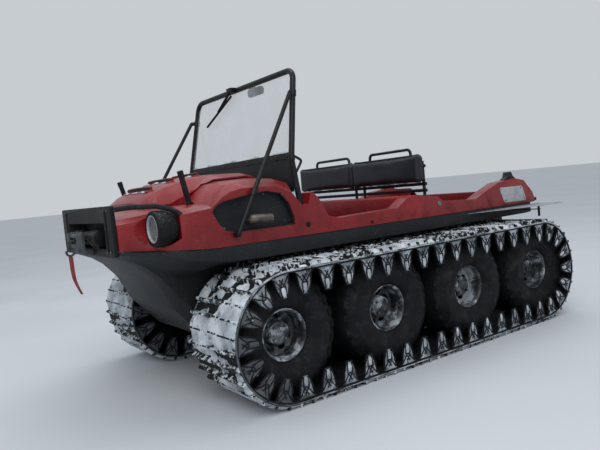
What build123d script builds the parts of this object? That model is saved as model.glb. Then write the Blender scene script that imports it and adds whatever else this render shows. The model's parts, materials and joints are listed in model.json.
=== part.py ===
from build123d import *
from math import atan2, cos, hypot, pi, radians, sin
import os

os.makedirs("parts", exist_ok=True)

# Whole vehicle. +X points forward, +Y to the left, +Z up, the ground is z = 0.
# All x values below are counted from the middle of the four axles.
axle_pitch = 673.0
axle_count = 4
axle_x = [axle_pitch * (i - (axle_count - 1) / 2) for i in range(axle_count)]
guard_x = 1660.0
hook_reach = 112.0
front_reach = guard_x + hook_reach
rear_reach = 1350.0
middle_x = (rear_reach - front_reach) / 2

# Wheels and tracks
tyre_r = 304.0
belt_gap = 0.3
belt_t = 9.0
lug_h = 24.0
wheel_z = tyre_r + belt_gap + belt_t + lug_h
track_in_y = 424.0
track_out_y = 878.0
tyre_in_y = 534.0
tyre_out_y = 830.0
rim_in_y = 572.0
rim_out_y = 790.0
rim_flange_r = 127.0
rim_barrel_r = 112.0
rim_t = 4.0
axle_r = 19.0
wheel_sides = 14
tube_sides = 10
shoe_count = 44

# Lower hull
wall = 6.0
hull_y = 400.0
keel_y = 322.0
keel_z = 236.0
flare_z = 702.0
side_y = 650.0
lip_y = 645.0

# Seam between the lower hull and the upper body, seen from the side
seam_front_x = 1760.0
seam_front_z = 822.0
seam_bend_x = 1250.0
seam_bend_z = 784.0
seam_rear_x = -1400.0
seam_rear_z = 776.0

# Cockpit and load space
dash_x = 734.0
inner_y = 566.0
cockpit_rear_x = -30.0
load_front_x = -330.0
load_rear_x = -1150.0
body_rear_x = -1284.0
hull_rear_x = -1240.0


def side(y):
    return Plane(origin=(middle_x, y, 0), x_dir=(1, 0, 0), z_dir=(0, -1, 0))


def level(z):
    return Plane(origin=(middle_x, 0, z), x_dir=(1, 0, 0), z_dir=(0, 0, 1))


def across(x):
    return Plane(origin=(middle_x + x, 0, 0), x_dir=(0, 1, 0), z_dir=(1, 0, 0))


def at(x, y, z):
    return Location((middle_x + x, y, z))


def shifted(x, y, z):
    return (middle_x + x, y, z)


def seam(x):
    if x > seam_bend_x:
        share = (x - seam_bend_x) / (seam_front_x - seam_bend_x)
        return seam_bend_z + share * (seam_front_z - seam_bend_z)
    share = (x - seam_bend_x) / (seam_rear_x - seam_bend_x)
    return seam_bend_z + share * (seam_rear_z - seam_bend_z)


def nose(x):
    """A place drawn for a guard at 1660, moved in step with the guard."""
    if x <= seam_bend_x:
        return x
    return seam_bend_x + (x - seam_bend_x) * (guard_x - seam_bend_x) / (1660.0 - seam_bend_x)


def mirrored(points):
    return list(points) + [(-y, z) for y, z in reversed(points)]


def flat(*corners):
    return Face(Wire.make_polygon(corners))


def skin(sections):
    """A closed solid through sections of equally many corners, in flat facets."""
    n = len(sections[0])
    facets = [flat(*sections[0]), flat(*sections[-1])]
    for a, b in zip(sections, sections[1:]):
        for i in range(n):
            j = (i + 1) % n
            if i < n / 2:
                facets += [flat(a[i], a[j], b[j]), flat(a[i], b[j], b[i])]
            else:
                facets += [flat(a[i], a[j], b[i]), flat(a[j], b[j], b[i])]
    return Solid(Shell(facets)).clean()


def save(piece, name):
    piece.part.label = name
    export_step(piece.part, "parts/" + name + ".step")


# Cutter for everything above or below the seam
with BuildPart() as above_seam:
    with BuildSketch(side(1000)):
        with BuildLine():
            Polyline(
                (seam_front_x, seam_front_z),
                (seam_bend_x, seam_bend_z),
                (seam_rear_x, seam_rear_z),
                (seam_rear_x, 2000),
                (2000, 2000),
                (2000, seam_front_z),
                close=True,
            )
        make_face()
    extrude(amount=2000)

with BuildPart() as below_seam:
    with BuildSketch(side(1000)):
        with BuildLine():
            Polyline(
                (seam_front_x, seam_front_z),
                (seam_bend_x, seam_bend_z),
                (seam_rear_x, seam_rear_z),
                (seam_rear_x, -200),
                (2000, -200),
                (2000, seam_front_z),
                close=True,
            )
        make_face()
    extrude(amount=2000)

# Lower hull: each row is a cross-section
# x, keel y, keel z, lower side y, lower side z, upper side y, upper side z, lip y, lip z
hull_rows = [
    (nose(1640), 300, 780, 350, 786, 390, 790, 446, 796),
    (nose(1560), 304, 745, 362, 752, 402, 766, 492, 786),
    (nose(1500), 308, 702, 374, 716, 412, 742, 540, 774),
    (nose(1430), 310, 622, 385, 652, 410, 690, 612, 756),
    (nose(1350), 312, 468, 392, 540, 402, 640, 640, 735),
    (1200, 316, 300, 398, 380, hull_y, 668, 645, 712),
    (1000, keel_y, keel_z, hull_y, 300, hull_y, 694, lip_y, flare_z),
    (-1000, keel_y, keel_z, hull_y, 300, hull_y, 694, lip_y, flare_z),
    (-1160, keel_y, 300, hull_y, 360, hull_y, 694, lip_y, flare_z),
    (hull_rear_x, keel_y, 560, hull_y, 580, hull_y, 694, lip_y, flare_z + 4),
]
hull_top_z = 900.0


def hull_section(row, inset):
    x, ky, kz, ly, lz, uy, uz, fy, fz = row
    grow = inset
    points = [
        (ky - grow, kz + grow),
        (ly - grow, lz + grow / 2),
        (uy - grow, uz + grow * 0.8),
        (fy - grow, fz + grow),
        (fy - grow, hull_top_z),
    ]
    return mirrored(points)


def hull_loft(inset, rows):
    return skin([[shifted(row[0], y, z) for y, z in hull_section(row, inset)] for row in rows])


hull_outer = hull_loft(0, hull_rows)
inner_rows = [list(row) for row in hull_rows]
inner_rows[0][0] = inner_rows[0][0] - wall
inner_rows[-1][0] = inner_rows[-1][0] + wall
hull_inner = hull_loft(wall, inner_rows)

with BuildPart() as hull_tub:
    add(hull_outer)
    add(hull_inner, mode=Mode.SUBTRACT)
    add(below_seam.part, mode=Mode.INTERSECT)
save(hull_tub, "hull_tub")

# Upper body, front half: each row is a cross-section
# x, side y, crease y, crease z, shoulder y, shoulder z, deck y, deck z, middle z
body_rows = [
    (nose(1640), 450, 437, 935, 424, 960, 300, 972, 976),
    (nose(1560), 498, 474, 945, 452, 968, 320, 982, 988),
    (nose(1500), 552, 510, 950, 484, 976, 340, 990, 998),
    (nose(1430), 616, 602, 956, 560, 982, 350, 995, 1006),
    (nose(1370), 646, 642, 962, 596, 986, 352, 998, 1010),
    (1250, side_y, 643, 974, 600, 990, 352, 1004, 1018),
    (1195, side_y, 641, 1016, 600, 1038, 352, 1056, 1068),
    (1140, side_y, 637, 1042, 597, 1078, 352, 1090, 1100),
    (1075, side_y, 636, 1054, 596, 1090, 352, 1104, 1110),
    (880, side_y, 640, 1050, 598, 1090, 352, 1110, 1116),
    (790, side_y, 645, 1010, 602, 1062, 352, 1088, 1094),
    (dash_x, side_y, side_y, 938, 606, 944, 352, 1050, 1056),
]


def body_section(row, inset):
    x, sy, cy, cz, hy, hz, dy, dz, mz = row
    points = [
        (sy - inset, 700),
        (cy - inset, cz - inset / 3),
        (hy - inset * 0.6, hz - inset),
        (dy, dz - inset),
        (dy / 2, mz - inset),
    ]
    return mirrored(points)


def body_loft(inset, rows):
    return skin([[shifted(row[0], y, z) for y, z in body_section(row, inset)] for row in rows])


body_outer = body_loft(0, body_rows)
body_inner_rows = [list(row) for row in body_rows]
body_inner_rows[0][0] = body_inner_rows[0][0] - wall
tail = 20 / (body_rows[-2][0] - body_rows[-1][0])
body_inner_rows[-1] = [b + tail * (b - a) for a, b in zip(body_rows[-2], body_rows[-1])]
body_inner = body_loft(wall, body_inner_rows)

# Upper body, rear half: outline of the side, x and z
side_line = [
    (dash_x, 942),
    (694, 942),
    (674, 1000),
    (662, 1004),
    (606, 941),
    (570, 868),
    (496, 848),
    (60, 858),
    (-8, 900),
    (-40, 915),
    (-118, 919),
    (-290, 895),
    (-336, 863),
    (-648, 846),
    (-746, 885),
    (-886, 935),
    (-1069, 953),
    (-1171, 933),
    (-1262, 846),
    (body_rear_x, 802),
    (body_rear_x, 700),
    (dash_x, 700),
]
tunnel_line = [
    (dash_x + 10, 935),
    (689, 935),
    (670, 992),
    (663, 995),
    (612, 938),
    (575, 862),
    (497, 842),
    (62, 852),
    (-6, 894),
    (-39, 909),
    (-117, 913),
    (-288, 889),
    (-334, 857),
    (-649, 840),
    (-749, 879),
    (-887, 929),
    (-1068, 947),
    (-1168, 927),
    (-1257, 843),
    (body_rear_x + wall, 801),
    (body_rear_x + wall, 690),
    (dash_x + 10, 690),
]

# Black cover let into each front flank, outline x and z
cover_line = [
    (1250, 960),
    (1226, 983),
    (1190, 1000),
    (1042, 1022),
    (944, 1032),
    (856, 1013),
    (812, 956),
    (789, 885),
    (789, 845),
    (1128, 845),
    (1190, 860),
    (1221, 893),
    (1246, 940),
]
hood_front_x = nose(1452)
hood_rear_x = 812.0
hood_y = 345.0

# Head lamp places, needed here for the pockets
lamp_y = 556.0
lamp_z = 905.0
lamp_r = 84.0
lens_r = 58.0
lamp_front_x = nose(1520)
lamp_depth = 0.28 * (guard_x - seam_bend_x)
lamp_back_x = lamp_front_x - lamp_depth
pocket_r = lamp_r + 2

# Window of the front guard, and the tray behind it that holds the winch
window_y = 320.0
tray_low_z = 820.0
tray_high_z = 954.0
tray_back_x = nose(1640) - 78

with BuildPart() as liner:
    for s in (1, -1):
        with Locations(at(lamp_back_x - wall, s * lamp_y, lamp_z)):
            Cylinder(
                pocket_r + wall,
                lamp_front_x - lamp_back_x + wall,
                rotation=(0, 90, 0),
                align=(Align.CENTER, Align.CENTER, Align.MIN),
            )
        with Locations(at(lamp_back_x, s * lamp_y, lamp_z)):
            Cylinder(
                pocket_r,
                lamp_front_x - lamp_back_x,
                rotation=(0, 90, 0),
                align=(Align.CENTER, Align.CENTER, Align.MIN),
                mode=Mode.SUBTRACT,
            )
    add(body_outer, mode=Mode.INTERSECT)
pocket_liner = liner.part

with BuildPart() as upper_body:
    add(body_outer)
    add(body_inner, mode=Mode.SUBTRACT)
    with BuildSketch(side(side_y)):
        with BuildLine():
            Polyline(*side_line, close=True)
        make_face()
    extrude(amount=2 * side_y)
    with BuildSketch(side(side_y - wall)):
        with BuildLine():
            Polyline(*tunnel_line, close=True)
        make_face()
    extrude(amount=side_y - wall - inner_y - wall, mode=Mode.SUBTRACT)
    with BuildSketch(side(-inner_y - wall)):
        with BuildLine():
            Polyline(*tunnel_line, close=True)
        make_face()
    extrude(amount=side_y - wall - inner_y - wall, mode=Mode.SUBTRACT)
    # Cockpit, load space, the hollow cross member and the hollow rear wall
    with BuildSketch(level(600)):
        with Locations(((dash_x + cockpit_rear_x) / 2, 0)):
            Rectangle(dash_x - cockpit_rear_x, 2 * inner_y)
        with Locations(((load_front_x + load_rear_x) / 2, 0)):
            Rectangle(load_front_x - load_rear_x, 2 * inner_y)
    extrude(amount=600, mode=Mode.SUBTRACT)
    with BuildSketch(side(inner_y)):
        with BuildLine():
            Polyline(
                (cockpit_rear_x - wall, 690),
                (cockpit_rear_x - wall, 900),
                (-60, 904),
                (-118, 911),
                (-286, 888),
                (load_front_x + wall, 860),
                (load_front_x + wall, 690),
                close=True,
            )
        make_face()
    extrude(amount=2 * inner_y, mode=Mode.SUBTRACT)
    with BuildSketch(side(inner_y)):
        with BuildLine():
            Polyline(
                (load_rear_x - wall, 690),
                (load_rear_x - wall, 931),
                (-1168, 927),
                (-1257, 843),
                (body_rear_x + wall, 801),
                (body_rear_x + wall, 690),
                close=True,
            )
        make_face()
    extrude(amount=2 * inner_y, mode=Mode.SUBTRACT)
    # The rear wall of the load space is lower between the corner wedges
    with BuildSketch(side(430)):
        with BuildLine():
            Polyline(
                (load_rear_x + 5, 870),
                (body_rear_x - 20, 870),
                (body_rear_x - 20, 1000),
                (load_rear_x + 5, 1000),
                close=True,
            )
        make_face()
    extrude(amount=860, mode=Mode.SUBTRACT)
    add(above_seam.part, mode=Mode.INTERSECT)
    # Opening under the hood lid
    with BuildSketch(level(960)):
        with Locations(((hood_front_x - 20 + hood_rear_x + 20) / 2, 0)):
            Rectangle(hood_front_x - hood_rear_x - 40, 2 * hood_y - 30)
    extrude(amount=300, mode=Mode.SUBTRACT)
    # Opening in the nose for the winch tray
    with BuildSketch(across(nose(1640) + 20)):
        with Locations((0, (tray_low_z + tray_high_z) / 2)):
            Rectangle(2 * window_y + 0.6, tray_high_z - tray_low_z + 0.6)
    extrude(amount=-60, mode=Mode.SUBTRACT)
    # Openings for the side covers
    with BuildSketch(side(side_y + 20)):
        with BuildLine():
            Polyline(*cover_line, close=True)
        make_face()
    extrude(amount=60, mode=Mode.SUBTRACT)
    with BuildSketch(side(-side_y + 40)):
        with BuildLine():
            Polyline(*cover_line, close=True)
        make_face()
    extrude(amount=60, mode=Mode.SUBTRACT)
    # Pockets for the head lamps, each with its own liner
    for s in (1, -1):
        with Locations(at(lamp_back_x, s * lamp_y, lamp_z)):
            Cylinder(
                pocket_r,
                400,
                rotation=(0, 90, 0),
                align=(Align.CENTER, Align.CENTER, Align.MIN),
                mode=Mode.SUBTRACT,
            )
    add(pocket_liner)
save(upper_body, "upper_body")


def tube_along(points, radius, bend=0.0):
    with BuildPart() as tube:
        with BuildLine() as path:
            if bend > 0 and len(points) > 2:
                FilletPolyline(*points, radius=bend)
            else:
                Polyline(*points)
        with BuildSketch(Plane(origin=path.wire() @ 0, z_dir=path.wire() % 0)):
            RegularPolygon(radius, tube_sides)
        sweep(transition=Transition.ROUND)
    return tube.part


# Side covers: black trays let into the flanks
tray_y = 641.0
tray_depth = 36.0
tray_t = 4.0
with BuildPart() as side_cover_left:
    with BuildSketch(side(tray_y)):
        with BuildLine():
            Polyline(*cover_line, close=True)
        make_face()
        offset(amount=-0.3)
    extrude(amount=tray_depth)
    with BuildSketch(side(tray_y)):
        with BuildLine():
            Polyline(*cover_line, close=True)
        make_face()
        offset(amount=-tray_t)
    extrude(amount=tray_depth - tray_t, mode=Mode.SUBTRACT)
save(side_cover_left, "side_cover_left")

cover_twin = mirror(side_cover_left.part, about=Plane.XZ)
with BuildPart() as side_cover_right:
    add(cover_twin)
save(side_cover_right, "side_cover_right")

# Exhaust outlet, on the left tray only
pipe_r = 23.0
tray_face_y = tray_y - tray_depth + tray_t
with BuildPart() as exhaust_outlet:
    add(
        tube_along(
            [
                shifted(1050, tray_face_y, 902),
                shifted(1050, 662, 902),
                shifted(950, 690, 893),
            ],
            pipe_r,
            28,
        )
    )
    add(
        tube_along(
            [shifted(1005, 674.6, 898), shifted(938, 693.4, 892)],
            pipe_r - 3,
        ),
        mode=Mode.SUBTRACT,
    )
save(exhaust_outlet, "exhaust_outlet")

# Wheels: each row is a radius and the distance from the vehicle's middle
hub_face_y = 742.0
web_y = 694.0
tyre_rows = [
    (rim_flange_r + 0.3, tyre_out_y),
    (tyre_r, tyre_out_y - 44),
    (tyre_r, tyre_in_y + 44),
    (rim_flange_r + 0.3, tyre_in_y),
]
barrel_rows = [
    (rim_flange_r, rim_out_y),
    (rim_flange_r, rim_out_y - 9),
    (rim_barrel_r + rim_t, rim_out_y - 14),
    (rim_barrel_r + rim_t, rim_in_y + 14),
    (rim_flange_r, rim_in_y + 9),
    (rim_flange_r, rim_in_y),
]
outer_dish_rows = [
    (rim_flange_r - 5, rim_out_y),
    (rim_barrel_r, rim_out_y - 13),
    (rim_barrel_r - 4, web_y + rim_t),
]
inner_dish_rows = [
    (rim_flange_r - 5, rim_in_y),
    (rim_barrel_r, rim_in_y + 13),
    (rim_barrel_r - 4, web_y - rim_t),
]
hub_rows = [(68, web_y), (60, hub_face_y)]
hub_hollow_rows = [(64, web_y - rim_t), (54, hub_face_y - 6)]


def ring(r, y, sides):
    """A polygon's corners about the vehicle's Y axis, the first one on top."""
    turns = [pi / 2 + 2 * pi * i / sides for i in range(sides)]
    return [(r * cos(turn), y, r * sin(turn)) for turn in turns]


def faceted(rows, sides, hollow=False):
    """A turned form with flat facets through rows of radius and distance."""
    rings = [ring(r, y, sides) for r, y in rows]
    facets = []
    if hollow:
        rings.append(rings[0])
    else:
        facets += [flat(*rings[0]), flat(*rings[-1])]
    for a, b in zip(rings, rings[1:]):
        for i in range(sides):
            j = (i + 1) % sides
            facets.append(flat(a[i], a[j], b[j], b[i]))
    return Solid(Shell(facets))


with BuildPart() as wheel_rim:
    add(faceted(barrel_rows, wheel_sides))
    add(faceted(outer_dish_rows, wheel_sides), mode=Mode.SUBTRACT)
    add(faceted(inner_dish_rows, wheel_sides), mode=Mode.SUBTRACT)
    add(faceted(hub_rows, wheel_sides))
    add(faceted(hub_hollow_rows, wheel_sides), mode=Mode.SUBTRACT)
with BuildPart() as wheel_tyre:
    add(faceted(tyre_rows, wheel_sides, hollow=True))
rim = wheel_rim.part
tyre = wheel_tyre.part

with BuildPart() as rims_left:
    for x in axle_x:
        with Locations(at(x, 0, wheel_z)):
            add(rim)
save(rims_left, "rims_left")
rims_twin = mirror(rims_left.part, about=Plane.XZ)
with BuildPart() as rims_right:
    add(rims_twin)
save(rims_right, "rims_right")

with BuildPart() as tyres_left:
    for x in axle_x:
        with Locations(at(x, 0, wheel_z)):
            add(tyre)
save(tyres_left, "tyres_left")
tyres_twin = mirror(tyres_left.part, about=Plane.XZ)
with BuildPart() as tyres_right:
    add(tyres_twin)
save(tyres_right, "tyres_right")

# Axle stubs with their bearing housings on the hull's side
with BuildPart() as stub:
    with BuildSketch(Plane.XZ.offset(-hull_y)):
        RegularPolygon(axle_r, tube_sides)
    extrude(amount=-(hub_face_y - 6 - hull_y))
    with BuildSketch(Plane.XZ.offset(-hull_y)):
        RegularPolygon(58, wheel_sides)
    extrude(amount=-20)
stub_twin = mirror(stub.part, about=Plane.XZ)
with BuildPart() as axle_stubs:
    for x in axle_x:
        with Locations(at(x, 0, wheel_z)):
            add(stub.part)
            add(stub_twin)
save(axle_stubs, "axle_stubs")

# Tracks: one fixed loop each, with a tread bar and two guide fingers on every shoe
loop_half = axle_pitch * (axle_count - 1) / 2
belt_in_r = tyre_r + belt_gap
belt_out_r = belt_in_r + belt_t
lug_tip_r = belt_out_r + lug_h
loop_length = 4 * loop_half + 2 * pi * belt_in_r
shoe_pitch = loop_length / shoe_count
finger_reach = 118.0
finger_t = 13.0


def on_loop(travel, r):
    """A point at distance r round the wheels, travel along the loop from the front wheel's top."""
    travel = travel % loop_length
    arc = pi * belt_in_r
    run = 2 * loop_half
    if travel < arc:
        turn = pi / 2 - travel / belt_in_r
        return (loop_half + r * cos(turn), wheel_z + r * sin(turn))
    if travel < arc + run:
        return (loop_half + arc - travel, wheel_z - r)
    if travel < 2 * arc + run:
        turn = -pi / 2 - (travel - arc - run) / belt_in_r
        return (-loop_half + r * cos(turn), wheel_z + r * sin(turn))
    return (travel - 2 * arc - run - loop_half, wheel_z + r)


# One shoe has two tread bars: share of the pitch and radius
bar_outline = [
    (-0.36, belt_out_r),
    (-0.30, lug_tip_r),
    (-0.22, lug_tip_r),
    (-0.16, belt_out_r),
    (0.14, belt_out_r),
    (0.20, lug_tip_r),
    (0.28, lug_tip_r),
    (0.34, belt_out_r),
]
tip_share = 0.14
first_shoe = 0.36
shoe_at = [shoe_pitch * (i + first_shoe) for i in range(shoe_count)]
# On the half circles the belt's inner side is made of chords that clear the tyres
chord_r = belt_in_r / cos(0.25 * shoe_pitch / belt_in_r)


def on_inner_side(travel):
    x, z = on_loop(travel, belt_in_r)
    if abs(x) > loop_half - 0.5 * shoe_pitch:
        return on_loop(travel, chord_r)
    return (x, z)


tread_line = [on_loop(s + share * shoe_pitch, r) for s in shoe_at for share, r in bar_outline]
inner_line = [on_inner_side(s + share * shoe_pitch) for s in shoe_at for share in (-0.5, 0)]
# Both edges carry tapered fingers that start side by side at the belt
finger_line = []
for s in shoe_at:
    finger_line += [
        on_inner_side(s - 0.5 * shoe_pitch),
        on_loop(s - tip_share * shoe_pitch, belt_in_r - finger_reach),
        on_loop(s + tip_share * shoe_pitch, belt_in_r - finger_reach),
    ]
belt_w = track_out_y - track_in_y - 2 * finger_t
# Inner outline, outer face and width of each zone
track_zones = [
    (finger_line, track_out_y, finger_t),
    (inner_line, track_out_y - finger_t, belt_w),
    (finger_line, track_in_y + finger_t, finger_t),
]
with BuildPart() as track_left:
    for inner_outline, y, width in track_zones:
        with BuildSketch(side(y)):
            with BuildLine():
                Polyline(*tread_line, close=True)
            make_face()
            with BuildLine():
                Polyline(*inner_outline, close=True)
            make_face(mode=Mode.SUBTRACT)
        extrude(amount=width)
save(track_left, "track_left")
track_twin = mirror(track_left.part, about=Plane.XZ)
with BuildPart() as track_right:
    add(track_twin)
save(track_right, "track_right")

# Front guard: a folded plate round the winch, with a window and a tray behind it
guard_y = 431.0
guard_low = 788.0
guard_high = 1030.0
guard_depth = 20.0
guard_back = guard_x - guard_depth
guard_t = 5.0
tray_wall = 4.0
with BuildPart() as front_guard:
    with BuildSketch(across(guard_back)):
        with Locations((0, (guard_low + guard_high) / 2)):
            RectangleRounded(2 * guard_y, guard_high - guard_low, 14)
    extrude(amount=guard_depth)
    with BuildSketch(across(guard_back)):
        with Locations((0, (guard_low + guard_high) / 2)):
            RectangleRounded(
                2 * (guard_y - guard_t), guard_high - guard_low - 2 * guard_t, 9
            )
    extrude(amount=guard_depth - guard_t, mode=Mode.SUBTRACT)
    with BuildSketch(across(tray_back_x)):
        with Locations((0, (tray_low_z + tray_high_z) / 2)):
            Rectangle(2 * window_y, tray_high_z - tray_low_z)
    extrude(amount=guard_x - guard_t - tray_back_x)
    with BuildSketch(across(tray_back_x + tray_wall)):
        with Locations((0, (tray_low_z + tray_high_z) / 2)):
            Rectangle(2 * (window_y - tray_wall), tray_high_z - tray_low_z - 2 * tray_wall)
    extrude(amount=guard_x - tray_back_x, mode=Mode.SUBTRACT)
    # Two ribs that stiffen the plate under its window
    for y in (-0.8 * guard_y, 0.8 * guard_y):
        with BuildSketch(across(guard_x)):
            with Locations((y, (guard_low + guard_high) / 2)):
                Rectangle(10, guard_high - guard_low - 40)
        extrude(amount=6)
save(front_guard, "front_guard")

# Winch on the floor of the tray
winch_r = 42.0
winch_x = guard_x - 20
winch_z = tray_low_z + tray_wall + winch_r + 8
shelf_z = tray_low_z + tray_wall
drum_y = 80.0
end_y = 205.0
with BuildPart() as winch:
    with BuildSketch(side(drum_y)):
        with Locations((winch_x, winch_z)):
            Circle(winch_r - 14)
    extrude(amount=2 * drum_y)
    for y in (end_y, -drum_y):
        with BuildSketch(side(y)):
            with Locations((winch_x, winch_z)):
                Circle(winch_r)
        extrude(amount=end_y - drum_y)
    with BuildSketch(level(shelf_z)):
        for s in (1, -1):
            with Locations((winch_x, s * (end_y + drum_y) / 2)):
                Rectangle(winch_r, end_y - drum_y - 20)
    extrude(amount=20)
save(winch, "winch")

# Fairlead on two arms from the guard, and the hook in front of it
fairlead_x = guard_x + 40
fairlead_z = winch_z - 6
fairlead_y = 105.0
roller_r = 11.0
with BuildPart() as fairlead:
    with BuildSketch(across(fairlead_x)):
        with Locations((0, fairlead_z - 12)):
            Rectangle(2 * fairlead_y, 112)
        with Locations((0, fairlead_z)):
            RectangleRounded(120, 30, 6, mode=Mode.SUBTRACT)
    extrude(amount=8)
    with BuildSketch(across(guard_x)):
        with Locations((0, tray_low_z - 14)):
            Rectangle(2 * fairlead_y, 26)
    extrude(amount=5)
    with BuildSketch(across(guard_x + 5)):
        with Locations((fairlead_y - 5, tray_low_z - 14), (5 - fairlead_y, tray_low_z - 14)):
            Rectangle(10, 26)
    extrude(amount=fairlead_x - guard_x - 5)
    with BuildSketch(side(fairlead_y - 27)):
        for rise in (-26, 26):
            with Locations((fairlead_x + 17, fairlead_z + rise)):
                RegularPolygon(roller_r, tube_sides)
    extrude(amount=2 * fairlead_y - 54)
    with BuildSketch(across(fairlead_x + 8)):
        with Locations((fairlead_y - 17, fairlead_z), (17 - fairlead_y, fairlead_z)):
            Rectangle(20, 78)
    extrude(amount=24)
save(fairlead, "fairlead")

hook_x = fairlead_x + 48
hook_z = fairlead_z - 54
rope_r = 4.0
with BuildPart() as winch_hook:
    with BuildSketch(side(6)):
        with Locations((hook_x, hook_z)):
            Circle(24)
            Circle(14, mode=Mode.SUBTRACT)
        with Locations((hook_x, hook_z + 39)):
            Rectangle(14, 34)
        with Locations((hook_x + 22, hook_z + 14)):
            Rectangle(30, 12, mode=Mode.SUBTRACT)
    extrude(amount=12)
    with BuildSketch(across(winch_x + winch_r - 14 + 0.3)):
        with Locations((0, fairlead_z)):
            Circle(rope_r)
    extrude(amount=hook_x + 7 - winch_x - winch_r + 14 - 0.3)
save(winch_hook, "winch_hook")

strap_t = 3.0
strap_top_z = hook_z - 24.3
# Drop below the hook and distance behind it, along the strap's middle
strap_route = [(0, 0), (88, 0), (148, 12), (199, 34)]
strap_front = [(hook_x + 1.5 - back, strap_top_z - drop) for drop, back in strap_route]
strap_rear = [(x - strap_t, z) for x, z in strap_front]
with BuildPart() as pull_strap:
    with BuildSketch(side(12)):
        with BuildLine():
            Polyline(*(strap_front + strap_rear[::-1]), close=True)
        make_face()
    extrude(amount=24)
save(pull_strap, "pull_strap")

# Head lamps: a black housing and a clear lens on each front corner
lens_seat_x = lamp_front_x - 12
lamp_profile = [
    (lamp_back_x, 0),
    (lamp_back_x, 58),
    (lamp_back_x + 0.2 * lamp_depth, 75),
    (lamp_back_x + 0.5 * lamp_depth, lamp_r),
    (lamp_front_x - 10, lamp_r),
    (lamp_front_x, lamp_r - 8),
    (lamp_front_x, lens_r + 0.3),
    (lens_seat_x, lens_r + 0.3),
    (lens_seat_x, lens_r - 4),
    (lamp_back_x + 0.4 * lamp_depth, 24),
    (lamp_back_x + 0.4 * lamp_depth, 0),
]
with BuildPart() as lamp:
    with BuildSketch(Plane.XZ):
        with BuildLine():
            Polyline(*lamp_profile, close=True)
        make_face()
    revolve(axis=Axis.X)
with BuildPart() as lens:
    with BuildSketch(Plane.YZ.offset(lens_seat_x)):
        Circle(lens_r)
    extrude(amount=5)
with BuildPart() as head_lamps:
    with Locations(at(0, lamp_y, lamp_z), at(0, -lamp_y, lamp_z)):
        add(lamp.part)
save(head_lamps, "head_lamps")
with BuildPart() as lamp_lenses:
    with Locations(at(0, lamp_y, lamp_z), at(0, -lamp_y, lamp_z)):
        add(lens.part)
save(lamp_lenses, "lamp_lenses")

# Black strips that run from the guard's top over each lamp to the fender
with BuildPart() as behind_guard:
    with Locations(at(guard_back, 0, 900)):
        Box(600, 2000, 600, align=(Align.MAX, Align.CENTER, Align.CENTER))
with BuildPart() as lamp_brows:
    for s in (1, -1):
        add(
            tube_along(
                [
                    shifted(guard_back + 6, s * 416, guard_high - 20),
                    shifted(nose(1565), s * 470, guard_high - 16),
                    shifted(nose(1490), s * 560, lamp_z + lamp_r + 20),
                    shifted(lamp_back_x + 30, s * 604, lamp_z + lamp_r - 2),
                    shifted(lamp_back_x - 12, s * 612, 954),
                ],
                12,
                30,
            )
        )
    add(behind_guard.part, mode=Mode.INTERSECT)
    add(body_outer.moved(Location((0, 0, 0.3))), mode=Mode.SUBTRACT)
save(lamp_brows, "lamp_brows")

# Upright posts on the front deck
post_r = 14.0
with BuildPart() as front_posts:
    for s in (1, -1):
        add(
            tube_along(
                [shifted(1258, s * 428, 970), shifted(1302, s * 445, 1167)],
                post_r,
            )
        )
    add(body_outer.moved(Location((0, 0, 0.3))), mode=Mode.SUBTRACT)
save(front_posts, "front_posts")

# Windscreen frame, folded from one tube, with its lower panel and glass
frame_r = 16.0
frame_foot_z = 945.0
frame_knee_z = 1180.0
frame_top_z = 1657.0
frame_foot_x = 714.0
frame_knee_x = 744.0
frame_top_x = 652.0
frame_low_y = 604.0
frame_high_y = 566.0
lean = (frame_knee_x - frame_top_x) / (frame_top_z - frame_knee_z)
frame_path = [
    shifted(frame_foot_x, frame_low_y, frame_foot_z),
    shifted(frame_knee_x, frame_low_y, frame_knee_z),
    shifted(frame_top_x, frame_high_y, frame_top_z),
    shifted(frame_top_x, -frame_high_y, frame_top_z),
    shifted(frame_knee_x, -frame_low_y, frame_knee_z),
    shifted(frame_foot_x, -frame_low_y, frame_foot_z),
]
glass_foot = 42.0
lower_bar_z = frame_knee_z + glass_foot * cos(atan2(lean, 1)) - 1
with BuildPart() as screen_frame:
    add(tube_along(frame_path, frame_r, 60))
    with BuildSketch(side(602)):
        with BuildLine():
            Polyline(
                (frame_knee_x - 3, frame_knee_z + 10),
                (frame_knee_x - 3, lower_bar_z),
                (frame_knee_x - 12, lower_bar_z),
                (frame_knee_x - 12, frame_knee_z + 10),
                close=True,
            )
        make_face()
    extrude(amount=1204)
save(screen_frame, "screen_frame")

screen_lean = Plane(
    origin=(middle_x + frame_knee_x, 0, frame_knee_z),
    x_dir=(0, 1, 0),
    z_dir=(cos(atan2(lean, 1)), 0, sin(atan2(lean, 1))),
)
screen_h = (frame_top_z - frame_knee_z) / cos(atan2(lean, 1))
with BuildPart() as screen_glass:
    with BuildSketch(screen_lean.offset(-2)):
        with BuildLine():
            Polyline(
                (-584, glass_foot),
                (584, glass_foot),
                (546, screen_h - 60),
                (510, screen_h - 18),
                (-510, screen_h - 18),
                (-546, screen_h - 60),
                close=True,
            )
        make_face()
    extrude(amount=4)
save(screen_glass, "screen_glass")

with BuildPart() as screen_panel:
    with BuildSketch(across(dash_x - 4.3)):
        with BuildLine():
            Polyline(
                (-584, 1190),
                (584, 1190),
                (584, 1012),
                (559, 1012),
                (559, 950),
                (-559, 950),
                (-559, 1012),
                (-584, 1012),
                close=True,
            )
        make_face()
    extrude(amount=4)
save(screen_panel, "screen_panel")

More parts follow.
